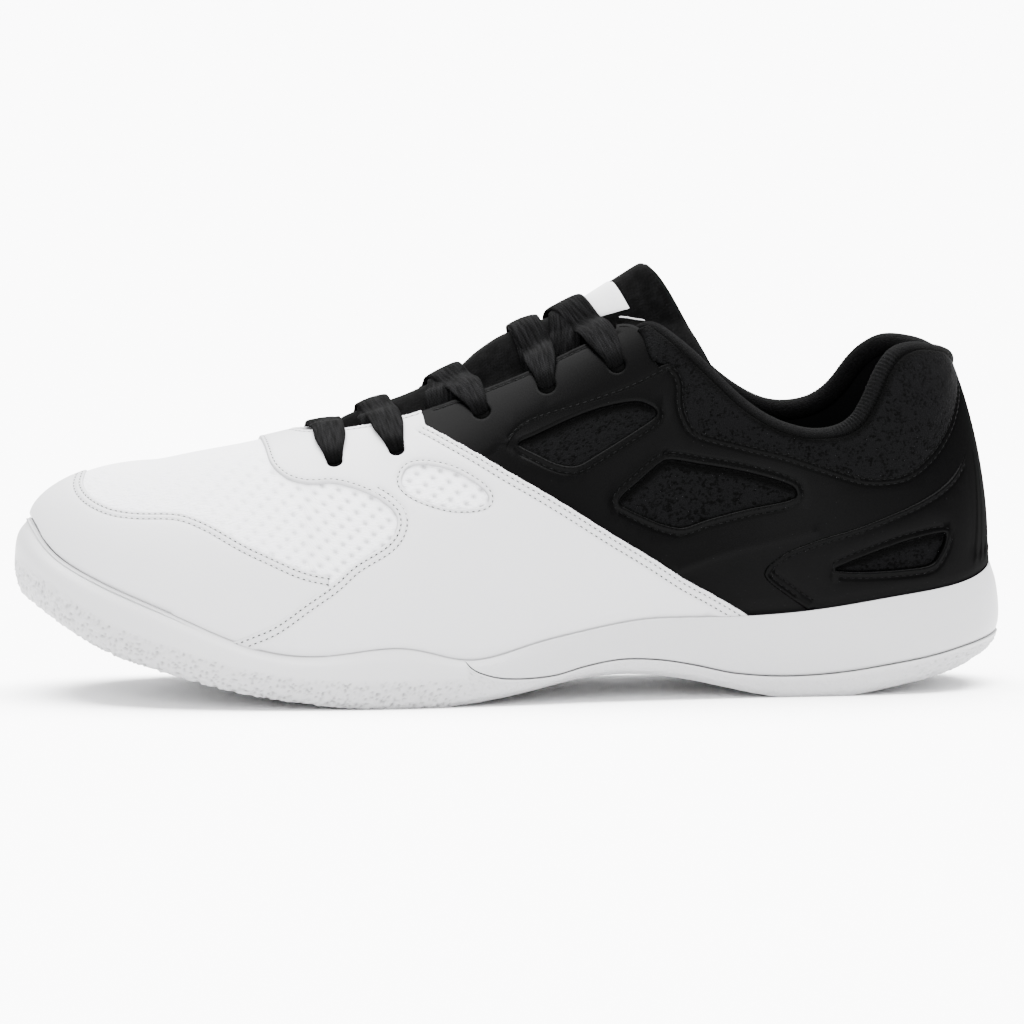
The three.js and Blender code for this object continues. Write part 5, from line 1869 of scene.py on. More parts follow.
@dataclass
class Overlays:
    """Every panel sewn on the cloth, with its stitching."""

    white_thickness: float = 1.35 * MM
    guard_thickness: float = 1.0 * MM
    stay_thickness: float = 1.15 * MM
    quarter_thickness: float = 0.95 * MM
    counter_thickness: float = 1.5 * MM
    row_gap: float = 1.8 * MM
    row_margin: float = 0.5 * MM
    # How much painted shade darkens the troughs of the black panels.
    black_groove_shade: float = 0.85
    white_sewing: Sewing = field(default_factory=lambda: Sewing("white_stitching"))
    black_sewing: Sewing = field(default_factory=lambda: Sewing("black_stitching", period=2.2 * MM,
                                                                dash=1.4 * MM))
    loose_rows: list[StitchRow] = field(default_factory=list)
    strip_ridges: tuple[float, ...] = (0.932, 0.946, 0.960, 0.975)
    fade_width: float = 3.2 * MM
    back_slimming: float = 1.0 * MM
    roll_shows: float = 2.5 * MM
    rib_shows: float = 1.0 * MM
    pad_height: float = 1.1 * MM

    def sew(self, sewing: Sewing, chart: Chart, line: np.ndarray, gaps: tuple[float, ...],
            closed: bool = False, start: int = 0, count: int = 0) -> list[Trough]:
        """Sews rows beside a line and gives their troughs.

        Args:
            sewing: the thread.
            chart: the map.
            line: the flat line.
            gaps: how far left of the line each row runs, or outside it where it is closed.
            closed: whether the line is a loop.
            start: the loop's point where the row starts.
            count: how many of its points the row follows, 0 for all.

        Returns:
            The troughs.
        """
        troughs = []
        hand = -1 if closed and self.turns_left(line) else 1
        for gap in gaps:
            run = even(chart, line, 1.2 * MM, closed)
            flat = beside(chart, run, hand * gap, closed)
            if closed:
                away, _ = nearest(chart.point(run), chart.point(flat))
                share = len(run) / len(line)
                flat = np.roll(flat, -int(start * share), axis=0)
                clear = np.roll(away > 0.98 * gap, -int(start * share))
                stop = int(count * share) if count else len(flat)
                flat = flat[:stop][clear[:stop]]
                flat = flat if count else np.concatenate([flat, flat[:1]])
            place, rise = chart.places(flat)
            flat = flat[rise < LAST.share_below(place, top_share(place), self.row_margin) + 1e-6]
            self.loose_rows.append(sewing.add(chart, flat))
            troughs.append(Trough(flat, 0.40 * MM if closed else 0.25 * MM, 0.6 * MM))
        return troughs

    def lay(self, panel: Panel, material: bpy.types.Material, slot: str, node: str) -> None:
        """Builds a panel in place of its solid and seats the rows that were sewn for it.

        Args:
            panel: the panel.
            material: its finish.
            slot: the record's slot.
            node: the solid that it replaces.
        """
        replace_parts(panel.build(material, slot), node)
        for row in self.loose_rows:
            row.panel = panel
        self.loose_rows = []

    def build_guard(self, finishes: Finishes) -> None:
        """Makes the toe guard round the toe.

        Args:
            finishes: the materials.
        """
        chart = Chart.SIDE
        curve = curve_through(LINES.guard)
        outer = chart.flat(curve[:, 0], curve[:, 1])
        inner = chart.flat(-curve[::-1, 0], curve[::-1, 1])
        top = np.concatenate([inner, outer[1:]])
        low = foot_run(chart, 0.325, -0.325)
        edge = np.concatenate([top, low])
        troughs = self.sew(self.white_sewing, chart, top, (-1.1 * MM, -1.1 * MM - self.row_gap))
        panel = Panel("toe_guard_dressed", chart, edge, [], troughs, self.guard_thickness)
        self.lay(panel, finishes.white_leather, "white_leather", "toe_guard")

    def build_vamp(self, finishes: Finishes) -> None:
        """Makes the white overlay from the loop at the toes back to the diagonal, over the ridge.

        Args:
            finishes: the materials.
        """
        chart = Chart.RIDGE
        halves, holes, troughs = {}, [], []
        tip = self.throat_tip()
        for side in Side:
            loop = flat_line(chart, LINES.loop, side)
            foot = foot_run(chart, 0.237, 0.716, side)[1:-1]
            diagonal = flat_line(chart, LINES.diagonal, side)[::-1]
            throat = edge_run(chart, 0.421, tip + 0.0005, side)
            halves[side] = np.concatenate([loop, foot, diagonal, throat])
            hand = side.value
            troughs += self.sew(self.white_sewing, chart, loop, (hand * 1.1 * MM,))
            troughs += self.sew(self.white_sewing, chart, loop[len(loop) * 5 // 12:],
                                (hand * (1.1 * MM + self.row_gap),))
            troughs += self.sew(self.white_sewing, chart, diagonal,
                                (hand * 1.4 * MM, hand * (1.4 * MM + self.row_gap)))
            troughs += self.sew(self.white_sewing, chart, throat, (hand * 1.4 * MM,))
            oval = flat_line(chart, LINES.oval, side, True)
            holes.append(oval)
            troughs += self.sew(self.white_sewing, chart, oval, (1.2 * MM,), True)
            holes += [self.eyelet(chart, index, side) for index in (0, 1)]
        tip_point = chart.flat(np.array([tip]), np.array([1.0]))
        edge = np.concatenate([halves[Side.OUTER], tip_point, halves[Side.INNER][::-1]])
        panel = Panel("vamp_overlay_dressed", chart, edge, holes, troughs, self.white_thickness,
                      bead=0.12 * MM)
        self.lay(panel, finishes.white_leather, "white_leather", "vamp_overlay")

    @staticmethod
    def turns_left(loop: np.ndarray) -> bool:
        """Tells whether a flat loop runs counter-clockwise."""
        x, y = loop[:, 0], loop[:, 1]
        return bool((x * np.roll(y, -1) - np.roll(x, -1) * y).sum() > 0)

    @staticmethod
    def throat_tip() -> float:
        """Finds the foremost place whose wall ends at the throat.

        Returns:
            The place as a share from toe to heel.
        """
        along = np.linspace(0.20, 0.42, 1200)
        open_here = LAST.edge_share(LAST.place(along)) < 0.9995
        return float(along[np.argmax(open_here)])

    @staticmethod
    def eyelet(chart: Chart, index: int, side: Side, grow: float = 0.0) -> np.ndarray:
        """Draws an eyelet's round hole.

        Args:
            chart: the map.
            index: the eyelet's number from the toe.
            side: the side.
            grow: how much larger its radius is.

        Returns:
            Flat points.
        """
        t, v = EYELET_PLACES[index]
        centre = chart.flat(np.array(t / (LAST.loop / 2) * side.value), np.array(v))
        return ring_around(chart, centre, EYELET_BORE / 2 + grow)

    def build_stay(self, finishes: Finishes, side: Side) -> None:
        """Makes the black eyestay behind the white overlay.

        Args:
            finishes: the materials.
            side: the side.
        """
        chart = Chart.SIDE
        front = flat_line(chart, LINES.diagonal[:4], side)
        front = beside(chart, even(chart, front, 1.5 * MM), -side.value * 3.0 * MM)
        front = front[front[:, 1] > 0.49 * MAP_HEIGHT]
        top = edge_run(chart, 0.413, STAY_END, side)
        rear = flat_line(chart, LINES.stay_rear, side)
        seam = flat_line(chart, LINES.seam, side)
        edge = np.concatenate([front[::-1], top, rear[1:-1], seam])
        sewn = flat_line(chart, LINES.seam[:6], side)
        troughs = self.sew(self.black_sewing, chart, sewn, (-side.value * 1.2 * MM,))
        troughs += self.sew(self.black_sewing, chart, edge_run(chart, 0.43, STAY_END, side),
                            (-side.value * 1.8 * MM,))
        holes = [self.eyelet(chart, index, side) for index in (2, 3, 4)]
        faded = chart.point(even(chart, flat_line(chart, LINES.seam[6:], side), 0.5 * MM))

        def sink(t: np.ndarray, v: np.ndarray, points: np.ndarray) -> tuple[np.ndarray, float]:
            """Lets the stay sink into the quarter where its seam ends.

            Args:
                t: places along the loop.
                v: rises.
                points: the surface's points.

            Returns:
                How far each point is raised, and its painted shade, which is none.
            """
            near, _ = nearest(faded, points)
            return -1.3 * MM * smooth_step(near, self.fade_width, 0.0), 0.0

        name = "lateral" if side is Side.OUTER else "medial"
        panel = Panel(f"eyestay_{name}_dressed", chart, edge, holes, troughs, self.stay_thickness,
                      relief=sink, groove_shade=self.black_groove_shade)
        self.lay(panel, finishes.black_leather, "black_leather", f"eyestay_{name}")

    def build_quarter(self, finishes: Finishes, side: Side) -> None:
        """Makes the black quarter with its two upper windows.

        Args:
            finishes: the materials.
            side: the side.
        """
        chart = Chart.SIDE
        front = even(chart, flat_line(chart, LINES.diagonal, side), 1.5 * MM)
        front = beside(chart, front, -side.value * 3.0 * MM)
        front = front[(front[:, 1] < 0.65 * MAP_HEIGHT)]
        seam = flat_line(chart, (*LINES.seam[:5], (0.503, 0.598), (0.488, 0.622), (0.470, 0.640),
                                 (0.455, 0.650)), side)
        seam = beside(chart, even(chart, seam, 1.5 * MM), side.value * -3.0 * MM)
        panel_line = flat_line(chart, LINES.collar_panel, side)
        place, rise = chart.places(panel_line)
        panel_line = panel_line[rise < top_share(place)]
        rear_top = edge_run(chart, 0.953, 1.0, side, 60)
        low = foot_run(chart, 1.0, 0.70, side, 160)
        edge = np.concatenate([front[::-1], seam[::-1][2:-2], panel_line, rear_top, low])
        holes, troughs = [], []
        for rows in (LINES.window_a, LINES.window_b):
            hole = flat_line(chart, rows, side, True)
            holes.append(hole)
            start, count = (len(hole) * 14 // 30, len(hole) * 16 // 30) if rows is LINES.window_a else (0, 0)
            troughs += self.sew(self.black_sewing, chart, hole, (2.2 * MM,), True, start, count)
        hand = -side.value
        troughs += self.sew(self.black_sewing, chart, panel_line, (hand * 1.6 * MM, hand * 3.2 * MM))
        recess = even(chart, flat_line(chart, LINES.window_c, side, True), 1.2 * MM, True)
        holes.append(beside(chart, recess, -3.0 * MM if self.turns_left(recess) else 3.0 * MM, True))
        crease = even(chart, flat_line(chart, ((0.643, 0.109), (0.701, 0.153), (0.773, 0.191)), side),
                      1.5 * MM)
        troughs.append(Trough(crease, -0.35 * MM, 1.1 * MM))
        name = "lateral" if side is Side.OUTER else "medial"
        panel = Panel(f"quarter_{name}_dressed", chart, edge, holes, troughs, self.quarter_thickness,
                      bead=0.12 * MM, groove_shade=self.black_groove_shade)
        self.lay(panel, finishes.black_leather, "black_leather", f"quarter_{name}")

    def build_counter(self, finishes: Finishes) -> None:
        """Makes the heel counter with the strip up the back.

        Args:
            finishes: the materials.
        """
        chart = Chart.SIDE
        curve = curve_through(LINES.counter)
        outer = chart.flat(curve[:, 0], curve[:, 1])
        inner = chart.flat(2 - curve[::-1, 0], curve[::-1, 1])
        top = edge_run(chart, 0.983, 1.017, Side.OUTER, 30)
        low = foot_run(chart, 2 - 0.772, 0.772, Side.OUTER, 160)
        edge = np.concatenate([outer[:-1], top, inner[1:], low])
        holes, troughs = [], []
        for mirror in (False, True):
            curve = curve_through(LINES.window_c, True)
            along = 2 - curve[:, 0] if mirror else curve[:, 0]
            holes.append(chart.flat(along, curve[:, 1]))
            troughs += self.sew(self.black_sewing, chart, holes[-1], (2.0 * MM,), True)
        low_start = 12
        for line in (outer[low_start:], inner[:-low_start]):
            troughs += self.sew(self.black_sewing, chart, line, (-1.7 * MM,))
        for line in (outer[:low_start * 3], inner[-low_start * 3:]):
            troughs += self.sew(self.black_sewing, chart, line, (-3.3 * MM,))
        for along in self.strip_ridges:
            for place in (along, 2 - along):
                lean = np.linspace(0.06, 0.32, 30)
                ridge = chart.flat(place + (1 - place) * lean, lean)
                troughs.append(Trough(ridge, -0.45 * MM, 0.55 * MM))

        def slim(t: np.ndarray, v: np.ndarray, points: np.ndarray) -> tuple[np.ndarray, float]:
            """Makes the counter thinner at the heel back.

            Args:
                t: places along the loop.
                v: rises.
                points: the surface's points.

            Returns:
                How far each point is raised, and its painted shade, which is none.
            """
            back = np.abs(t / (LAST.loop / 2) - 1)
            return -self.back_slimming * smooth_step(back, 0.11, 0.03) * smooth_step(v, 0.0, 0.10), 0.0

        panel = Panel("heel_counter_dressed", chart, edge, holes, troughs, self.counter_thickness,
                      bead=0.15 * MM, relief=slim, groove_shade=self.black_groove_shade)
        self.lay(panel, finishes.black_leather, "black_leather", "heel_counter")

    def build_collar_panel(self, finishes: Finishes, side: Side) -> None:
        """Makes the padded knit panel below the collar.

        Args:
            finishes: the materials.
            side: the side.
        """
        chart = Chart.SIDE
        line = even(chart, flat_line(chart, LINES.collar_panel, side), 1.5 * MM)
        low = beside(chart, line, -side.value * 1.5 * MM)
        place, rise = chart.places(low)
        low = low[rise < LAST.share_below(place, LAST.edge_share(place), self.roll_shows)]
        along = np.linspace(0.950, STAY_END + 0.004, 220)
        t = np.mod(side.value * LAST.place(along), LAST.loop)
        ribbed = smooth_step(along, 0.78, 0.82) * smooth_step(along, 0.91, 0.87)
        shows = self.roll_shows + self.rib_shows * ribbed
        drop = np.minimum(np.maximum(roll_size(t) - 0.6 * MM, 0.3 * MM), shows)
        top = chart.flat(along * side.value, LAST.share_below(t, LAST.edge_share(t), drop))
        rear = beside(chart, even(chart, flat_line(chart, LINES.stay_rear, side), 1.5 * MM),
                      side.value * -1.5 * MM)
        edge = np.concatenate([low, top, rear[1:-2]])
        name = "lateral" if side is Side.OUTER else "medial"
        top_points, low_points = chart.point(even(chart, top, 0.5 * MM)), chart.point(low)

        def pad(t: np.ndarray, v: np.ndarray, points: np.ndarray) -> tuple[np.ndarray, np.ndarray]:
            """Puffs the panel up between its edges and paints shade in the groove under the roll.

            Args:
                t: places along the loop.
                v: rises.
                points: the surface's points.

            Returns:
                How far each point is raised, and its painted shade.
            """
            from_low, _ = nearest(low_points, points)
            from_top, _ = nearest(top_points, points)
            raised = (self.pad_height * smooth_step(from_low, 0.5 * MM, 8.0 * MM)
                      * smooth_step(from_top, 0.0, 1.4 * MM))
            # Painted shade in a band just below the roll, where the panel meets it.
            return raised, 0.97 * smooth_step(from_top, 2.5 * MM, 1.7 * MM)

        panel = Panel(f"collar_panel_{name}", chart, edge, [], [], 1.3 * MM, edge_round=1.4 * MM,
                      grid=1.8 * MM, skirt=-0.5 * MM, relief=pad)
        piece = panel.build(finishes.collar_cloth, "collar_knit")

    def build_eyelet_shades(self, finishes: Finishes) -> None:
        """Makes dark cups in the eyelets, painted as the shade seen through them.

        Args:
            finishes: the materials.
        """
        points, faces = [], []
        chart = Chart.RIDGE
        for side in Side:
            for index in range(len(EYELETS)):
                start = sum(len(p) for p in points)
                for grow, height in ((0.35, -0.3), (0.3, 0.48), (-1.9, 0.42)):
                    ring = self.eyelet(chart, index, side, grow * MM)
                    points.append(chart.point(ring, height * MM))
                faces += (grid_faces(3, EYELET_POINTS, True) + start).tolist()
                faces.append([start + 2 * EYELET_POINTS + i for i in range(EYELET_POINTS)])
        # The cups are painted shade.
        add_piece("eyelet_shadows", np.concatenate(points), faces, finishes.dark_hole_shadow, "upper_mesh")

    def build(self, finishes: Finishes) -> None:
        """Makes all panels and their stitching.

        Args:
            finishes: the materials.
        """
        self.build_guard(finishes)
        self.build_vamp(finishes)
        self.build_counter(finishes)
        for side in Side:
            self.build_stay(finishes, side)
            self.build_quarter(finishes, side)
            self.build_collar_panel(finishes, side)
        self.build_eyelet_shades(finishes)
        self.white_sewing.build(finishes.white_thread, finishes.grey_hole_shadow, "white_leather")
        self.black_sewing.build(finishes.black_thread, finishes.dark_hole_shadow, "black_leather")


@dataclass
class CollarRoll:
    """The padded roll on the collar's edge, with fine cross ribs where its outer side rises at the back."""

    columns: int = 1500
    sides: int = 20
    rib_pitch: float = 1.15 * MM
    rib_depth: float = 0.13 * MM
    first_size: float = 0.9 * MM
    far_rise: float = 1.4 * MM

    def build(self, finishes: Finishes) -> None:
        """Makes the roll.

        Args:
            finishes: the materials.
        """
        t = np.linspace(0, LAST.loop, self.columns * 3, endpoint=False)
        t = t[roll_size(t) > self.first_size]
        t = np.linspace(t[0], t[-1], self.columns)
        size, edge = roll_size(t), LAST.edge_share(t)
        mid_share = LAST.share_below(t, edge, size / 2)
        middle = LAST.point(t, mid_share, np.full_like(t, -UPPER_WALL / 2))
        behind = t - LAST.loop / 2
        middle[:, 2] += (self.far_rise * smooth_step(behind, 8 * MM, 26 * MM)
                         * smooth_step(t[-1] - t, 4 * MM, 30 * MM))
        kernel = np.hanning(41) / np.hanning(41).sum()
        padded = np.pad(middle, ((20, 20), (0, 0)), mode="reflect", reflect_type="odd")
        middle = np.stack([np.convolve(padded[:, k], kernel, mode="valid") for k in range(3)], -1)
        up = LAST.plain(t, edge) - LAST.plain(t, edge - 0.05)
        out = LAST.normal(t, mid_share)
        way = tangents(middle)
        up = unit(up - way * (up * way).sum(1, keepdims=True))
        out = unit(out - way * (out * way).sum(1, keepdims=True) - up * (out * up).sum(1, keepdims=True))
        run = way_along(middle)
        at = middle[:, 0] / LAST.length + 0.5
        ribbed = smooth_step(at, 0.80, 0.825) * smooth_step(at, 0.885, 0.870)
        turn = np.arange(self.sides) / self.sides * 2 * math.pi
        rib = np.cos(run / self.rib_pitch * 2 * math.pi) * self.rib_depth * ribbed
        radius = (size / 2)[:, None] + rib[:, None] * smooth_step(np.cos(turn), 0.0, 0.6)[None, :]
        radius = np.maximum(radius, 0.3 * MM)
        loops = (middle[:, None, :] + up[:, None, :] * (np.sin(turn) * radius)[..., None]
                 + out[:, None, :] * (np.cos(turn) * radius * 2 * ROLL_DEPTH)[..., None])
        points = loops.reshape(-1, 3)
        faces = grid_faces(len(t), self.sides, True).tolist()
        faces.append(list(range(self.sides))[::-1])
        faces.append([(len(t) - 1) * self.sides + i for i in range(self.sides)])
        uv = np.stack([np.broadcast_to(run[:, None], radius.shape), turn[None, :] * radius],
                      -1).reshape(-1, 2)
        # Painted shade: the outer side darkens below a set height, where the knit panel meets the roll; where
        # the roll is ribbed the band starts lower.
        hidden = (0.40 - 0.33 * ribbed)[:, None]
        shade = np.clip((hidden - np.sin(turn)[None, :]) / 0.2, 0, 1) * (np.cos(turn) > 0)[None, :]
        piece = add_piece("collar_roll_dressed", points, [f[::-1] for f in faces], finishes.roll_cloth,
                          "collar_knit", uv, shade.ravel())
        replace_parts(piece, "collar_roll")


# The tongue: share of the length, lift of its middle and slant of its sides as shares of the length, and how
# far down it goes on each side.
TONGUE = ((0.262, -0.0125, 0.000, 0.10), (0.297, -0.0100, 0.000, 0.14), (0.335, 0.0030, 0.000, 0.20),
          (0.400, 0.0030, 0.000, 0.24), (0.445, 0.0055, 0.003, 0.27), (0.472, 0.0150, 0.005, 0.28),
          (0.500, 0.0200, 0.010, 0.30), (0.555, 0.0165, 0.020, 0.33), (0.605, 0.0240, 0.034, 0.42),
          (0.636, 0.0290, 0.043, 0.46), (0.648, 0.0300, 0.046, 0.47))


@dataclass
class Tongue:
    """The padded tongue, from under the vamp to its free top."""

    wall: float = 5 * MM
    edge_wall: float = 2.6 * MM
    wall_gap: float = 1.5 * MM
    sweep: float = 1.2
    patch_stand: float = 0.3 * MM
    steps: int = 150
    across: int = 96

    def __post_init__(self) -> None:
        """Makes smooth columns of its table and a map from ridge shares to places."""
        self.lift = smooth_column(TONGUE, 1)
        self.slant = smooth_column(TONGUE, 2)
        self.side = smooth_column(TONGUE, 3)
        self.half = np.linspace(0, LAST.loop / 2, 1200)
        self.ridge_at = LAST.top_x(self.half) / LAST.length + 0.5

    def ridge_place(self, at: np.ndarray) -> np.ndarray:
        """Finds the place whose ridge point has a share of the length."""
        return np.interp(at, np.maximum.accumulate(self.ridge_at), self.half)

    def offset(self, at: np.ndarray, t: np.ndarray, v: np.ndarray) -> np.ndarray:
        """Gives how far the tongue's face lies from the last.

        Args:
            at: its row's share of the length.
            t: places along the loop.
            v: rises.

        Returns:
            Offsets.
        """
        away = np.clip((1 - v) / np.maximum(1 - LAST.edge_share(t), 0.02), 0, 1)
        s = smooth_step(away, 0.1, 0.7)
        behind = -(np.maximum(UPPER_WALL, UPPER_WALL / 2 + ROLL_DEPTH * roll_size(t)) + self.wall_gap)
        return self.lift(at) * LAST.length * (1 - s) + behind * s

    def build(self, finishes: Finishes) -> None:
        """Makes the tongue.

        Args:
            finishes: the materials.
        """
        first, last = TONGUE[0][0], TONGUE[-1][0]
        at = np.linspace(first, last, self.steps)[:, None]
        c = np.linspace(-1, 1, self.across)[None, :]
        half = self.ridge_place(at + self.slant(at) * np.abs(c) ** self.sweep)
        t = np.where(c < 0, half, LAST.loop - half)
        v = 1 - self.side(at) * np.abs(c)
        full = smooth_step(np.abs(c), 1, 0.55) * smooth_step(at, first, 0.42)
        wall = self.edge_wall + (self.wall - self.edge_wall) * full
        end = np.minimum((last - at) * LAST.length, (1 - np.abs(c)) * 30 * MM + 0 * at)
        pinch = (1 - quarter_round(end / (2.0 * MM))) * wall / 2
        offset = self.offset(at, t, v)
        outer = LAST.point(t, v, offset - pinch)
        inner = LAST.point(t, v, offset - wall + pinch)
        rows, columns = t.shape
        points = np.concatenate([outer.reshape(-1, 3), inner.reshape(-1, 3)])
        top = grid_faces(rows, columns, False)
        low = top[:, ::-1] + rows * columns
        faces = top.tolist() + low.tolist()
        index = np.arange(rows * columns).reshape(rows, columns)
        ring = np.concatenate([index[0, :], index[1:, -1], index[-1, -2::-1], index[-2:0:-1, 0]])
        other = ring + rows * columns
        for k in range(len(ring)):
            n = (k + 1) % len(ring)
            faces.append([ring[n], ring[k], other[k], other[n]])
        across = np.concatenate([np.zeros((rows, 1)),
                                 np.cumsum(np.linalg.norm(np.diff(outer, axis=1), axis=2), 1)], 1)
        onward = np.broadcast_to((at - first) * LAST.length, t.shape)
        uv = np.stack([onward, across - across[:, columns // 2:columns // 2 + 1]], -1).reshape(-1, 2)
        piece = add_piece("tongue_dressed", points, faces, finishes.tongue_cloth, "tongue_cloth",
                          np.concatenate([uv, uv]))
        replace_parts(piece, "tongue")
        self.build_patch("tongue_label", (0.560, 0.612), (-0.25, 0.25), 0.0, finishes)
        self.build_patch("tongue_line", (0.598, 0.618), (-0.284, -0.277), 0.055, finishes)

    def build_patch(self, name: str, rows: tuple[float, float], span: tuple[float, float], lean: float,
                    finishes: Finishes) -> None:
        """Lays a thin bare white patch across the tongue's face.

        Args:
            name: the patch's name.
            rows: its front and rear as shares of the length.
            span: from where to where it goes across, as shares of the tongue's half.
            lean: how much further out its rear end lies.
            finishes: the materials.
        """
        at = np.linspace(*rows, 14)[:, None]
        c = np.linspace(*span, 61)[None, :] - lean * np.linspace(0, 1, 14)[:, None]
        half = self.ridge_place(at + self.slant(at) * np.abs(c) ** self.sweep)
        t = np.where(c < 0, half, LAST.loop - half)
        v = 1 - self.side(at) * np.abs(c)
        edge = np.zeros(t.shape)
        edge[0, :] = edge[-1, :] = edge[:, 0] = edge[:, -1] = 1
        points = LAST.point(t, v, self.offset(at, t, v) + self.patch_stand * (1 - 1.5 * edge))
        piece = add_piece(name, points.reshape(-1, 3), grid_faces(*t.shape, False), finishes.label,
                          "tongue_cloth")
        LOG.info("%s: %d faces", name, len(piece.data.polygons))


@dataclass
class Laces:
    """Flat laces: a straight bar at the toes, then strands that cross over the tongue."""

    tongue: Tongue
    width: float = 9.2 * MM
    end_width: float = 5.2 * MM
    narrowing: float = 11.0 * MM
    wall: float = 1.15 * MM
    gap: float = 0.25 * MM
    cross_over: float = 0.90 * MM
    over_panel: float = 1.9 * MM
    plunge: float = 3.4 * MM
    steps: int = 110
    sides: int = 22

    def height(self, t: np.ndarray, v: np.ndarray) -> np.ndarray:
        """Gives how far a strand's underside lies from the last.

        Args:
            t: places along the loop.
            v: rises.

        Returns:
            Offsets.
        """
        at = LAST.top_x(t) / LAST.length + 0.5
        under = self.tongue.offset(at, t, v)
        away = (1 - v) / np.maximum(1 - LAST.edge_share(t), 0.02)
        return np.maximum(under + self.gap, self.over_panel * smooth_step(away, 0.45, 0.9))

    def strand(self, index: int, side: Side, raise_by: float) -> tuple[np.ndarray, np.ndarray, np.ndarray]:
        """Works out one strand's middle line, its upward directions and its widths.

        Args:
            index: the eyelet row's number from the toe.
            side: the side that it starts on.
            raise_by: how far it lies over the other strand where they cross.

        Returns:
            Points, unit vectors and widths.
        """
        start = EYELET_PLACES[index]
        lean = EYELETS[index][2]
        back = EYELET_PLACES[max(0, index - 1)]
        far = (start[0] + (back[0] - start[0]) * lean, start[1] + (back[1] - start[1]) * lean)
        share = np.linspace(0, 1, self.steps)
        near = share <= 0.5
        climb = np.where(near, share * 2, 2 - share * 2)
        foot_t = np.where(near, start[0], far[0])
        foot_v = np.where(near, start[1], far[1])
        t = foot_t + ((start[0] + far[0]) / 2 - foot_t) * climb
        v = foot_v + (1 - foot_v) * climb
        outer = near == (side is Side.OUTER)
        place = np.where(outer, t, LAST.loop - t)
        run = way_along(LAST.plain(place, v))
        left = run[-1] - run
        width = self.end_width + (self.width - self.end_width) * smooth_step(run, 0.0, self.narrowing)
        ahead = np.where(outer, 1.0, -1.0) * width * 0.38
        both = [self.height(place + part, v) for part in (-ahead, 0 * ahead, ahead)]
        level = np.max(both, axis=0) * 0.5 + np.mean(both, axis=0) * 0.5
        kernel = np.hanning(13)[1:-1] / np.hanning(13)[1:-1].sum()
        level = np.convolve(np.pad(level, 5, mode="edge"), kernel, mode="valid") + self.wall / 2
        level = level + raise_by * np.exp(-((share - 0.5) / 0.14) ** 2)
        level = level - self.plunge * (1 - quarter_round(run / self.plunge))
        if index > 0:
            level = level - smooth_step(share, 0.66, 0.80) * 6.0 * MM
        else:
            level = level - self.plunge * (1 - quarter_round(left / self.plunge))
            width = np.minimum(width, width[::-1])
        base = LAST.normal(place, v)
        front = LAST.point(place - ahead, v, both[0])
        rear = LAST.point(place + ahead, v, both[2])
        points = LAST.point(place, v, level)
        way = tangents(points)
        lie = np.cross(way, rear - front)
        lie = unit(lie * np.sign((lie * base).sum(1, keepdims=True)))
        tilt = smooth_step(run, 1.0 * MM, 8.0 * MM)[:, None]
        normal = base * (1 - 0.8 * tilt) + lie * 0.8 * tilt
        return points, unit(normal), width

    def ribbon(self, points: np.ndarray, normal: np.ndarray, width: np.ndarray,
               both_ends: bool) -> tuple[np.ndarray, np.ndarray, np.ndarray]:
        """Lays a flat woven band along a line.

        Args:
            points: its middle line.
            normal: its upward directions.
            width: its widths.
            both_ends: whether both ends dip into a hole.

        Returns:
            Points of its loops, their pattern places and their painted shade.
        """
        way = tangents(points)
        wide = unit(np.cross(way, normal))
        high = np.cross(wide, way)
        run = way_along(points)
        end = np.minimum(run, run[-1] - run) if both_ends else run
        half = width / 2
        thick = self.wall / 2 * (1.35 - 0.35 * smooth_step(end, 0.0, self.narrowing))
        turn = (np.arange(self.sides) + 0.5) / self.sides * 2 * math.pi
        across = np.sign(np.cos(turn)) * np.abs(np.cos(turn)) ** 0.6
        up = np.sign(np.sin(turn)) * np.abs(np.sin(turn)) ** 0.8
        crown = 1 + 0.35 * (1 - np.abs(across)) * (up > 0)
        sag = (0.16 * (across ** 2))[None, :] * half[:, None]
        sag = sag * smooth_step(end, self.narrowing, 2.0 * MM)[:, None]
        wave = 0.05 * MM * np.sin(run / (1.1 * MM))[:, None] * np.sin(turn * 3 + 0.6)[None, :]
        loops = (points[:, None, :] + wide[:, None, :] * (half[:, None] * across)[..., None]
                 + high[:, None, :] * (thick[:, None] * up * crown - sag + wave)[..., None])
        uv = np.stack([np.broadcast_to(run[:, None], (len(run), self.sides)),
                       half[:, None] * across + np.where(up < 0, 20 * MM, 0.0)], -1)
        # Painted shade: darker toward the ends that dip into the eyelets, and along the edges.
        shade = np.broadcast_to(smooth_step(end, 7.5 * MM, 2.0 * MM)[:, None], uv.shape[:2])
        edge_shade = 0.5 * smooth_step(np.abs(across), 0.75, 1.0)[None, :]
        return loops, uv, np.clip(shade * 0.9 + edge_shade, 0, 1)

    def build(self, finishes: Finishes) -> None:
        """Makes all strands, one piece for each row.

        Args:
            finishes: the materials.
        """
        for index in range(len(EYELETS)):
            points, uvs, shades, faces = [], [], [], []
            strands = [(Side.OUTER, 0.0)]
            if index > 0:
                strands = [(Side.INNER, 0.0), (Side.OUTER, self.cross_over)]
            for side, raise_by in strands:
                line, normal, width = self.strand(index, side, raise_by)
                loops, uv, shade = self.ribbon(line, normal, width, index == 0)
                start = sum(len(p) for p in points)
                body = grid_faces(len(line), self.sides, True) + start
                faces += body[:, ::-1].tolist()
                faces.append([start + i for i in range(self.sides)])
                faces.append([start + (len(line) - 1) * self.sides + i for i in reversed(range(self.sides))])
                points.append(loops.reshape(-1, 3))
                uvs.append(uv.reshape(-1, 2) + np.array([0.0, 50 * MM * index]))
                shades.append(shade.ravel())
            piece = add_piece(f"lace_{index + 1}_dressed", np.concatenate(points), faces,
                              finishes.lace_cloth, "lace_weave", np.concatenate(uvs),
                              np.concatenate(shades))
            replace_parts(piece, f"lace_{index + 1}")


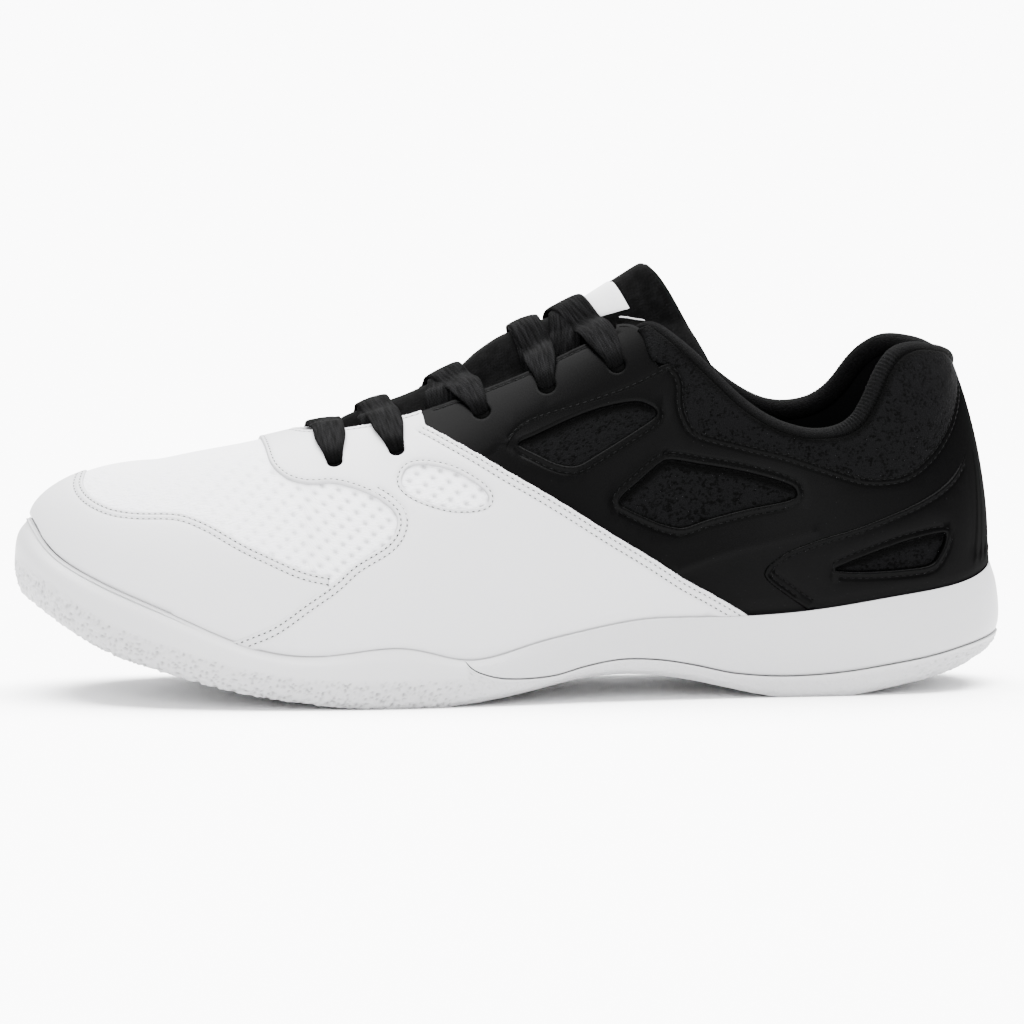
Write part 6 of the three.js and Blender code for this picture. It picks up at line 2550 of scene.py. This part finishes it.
@dataclass
class Studio:
    """The pale floor, the soft light and the camera of the photo."""

    yaw: float = -8.0
    elevation: float = 5.0
    distance: float = 2.2
    lens: float = 265.8
    aim_right: float = 0.39 * MM
    aim_down: float = 8.57 * MM
    target_height: float = 60 * MM
    floor_colour: tuple[float, float, float] = (0.95, 0.95, 0.955)
    floor_size: float = 40.0
    room_light: float = 1.6

    def build_floor(self) -> None:
        """Makes the plain floor."""
        size = self.floor_size
        mesh = bpy.data.meshes.new("floor")
        mesh.from_pydata([(-size, -size, 0), (size, -size, 0), (size, size, 0), (-size, size, 0)], [],
                         [(0, 1, 2, 3)])
        floor = bpy.data.objects.new("floor", mesh)
        bpy.context.scene.collection.objects.link(floor)
        g = Graph("Pale floor")
        mesh.materials.append(g.finish(self.floor_colour, 0.6, None, 0.0, 0.0, 0.2))
        floor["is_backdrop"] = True

    def build_light(self) -> None:
        """Makes the soft light from above and in front, and the pale world."""
        lamps = (("key", (0.10, 0.30, 1.6), 66.0, 31.0), ("front", (-0.4, -1.5, 0.35), 60.0, 6.5))
        for name, place, softness, strength in lamps:
            lamp = bpy.data.lights.new(name, "SUN")
            lamp.angle = math.radians(softness)
            lamp.energy = strength
            piece = bpy.data.objects.new(name, lamp)
            piece.location = place
            piece.rotation_euler = Vector(place).to_track_quat("Z", "Y").to_euler()
            bpy.context.scene.collection.objects.link(piece)
            piece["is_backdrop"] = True
        world = bpy.data.worlds.new("Pale room")
        world.use_nodes = True
        world.node_tree.nodes["Background"].inputs["Color"].default_value = (1.0, 1.0, 1.0, 1.0)
        world.node_tree.nodes["Background"].inputs["Strength"].default_value = self.room_light
        bpy.context.scene.world = world

    def build_camera(self) -> None:
        """Sets the camera where the photo was taken from."""
        a, e = math.radians(self.yaw), math.radians(self.elevation)
        back = Vector((math.sin(a) * math.cos(e), -math.cos(a) * math.cos(e), math.sin(e)))
        right = Vector((math.cos(a), math.sin(a), 0.0))
        up = back.cross(right)
        aim = Vector((*LAST.frame_shift, self.target_height)) + right * self.aim_right - up * self.aim_down
        data = bpy.data.cameras.new("camera")
        data.lens = self.lens
        data.sensor_width = 36.0
        data.clip_end = 200.0
        camera = bpy.data.objects.new("camera", data)
        camera.location = aim + back * self.distance
        camera.rotation_euler = back.to_track_quat("Z", "Y").to_euler()
        bpy.context.scene.collection.objects.link(camera)
        bpy.context.scene.camera = camera

    def build(self) -> None:
        """Makes floor, light and camera."""
        self.build_floor()
        self.build_light()
        self.build_camera()


def write_sizes() -> None:
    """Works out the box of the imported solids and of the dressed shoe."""
    sizes = {"cad": CAD_BOUNDS, "dressed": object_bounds()}
    plain = {key: [[float(c) for c in corner] for corner in value] for key, value in sizes.items()}


def main() -> None:
    """Builds the shoe, piece after piece, and its stage."""
    logging.basicConfig(level=logging.INFO, format="%(name)s: %(message)s")
    finishes = Finishes()
    Sole().build(finishes)
    LOG.info("sole is built")
    Upper().build(finishes)
    LOG.info("upper is built")
    Overlays().build(finishes)
    LOG.info("panels are built")
    CollarRoll().build(finishes)
    tongue = Tongue()
    tongue.build(finishes)
    Laces(tongue).build(finishes)
    LOG.info("tongue and laces are built")
    Studio().build()
    write_sizes()


if __name__ == "__main__":
    main()
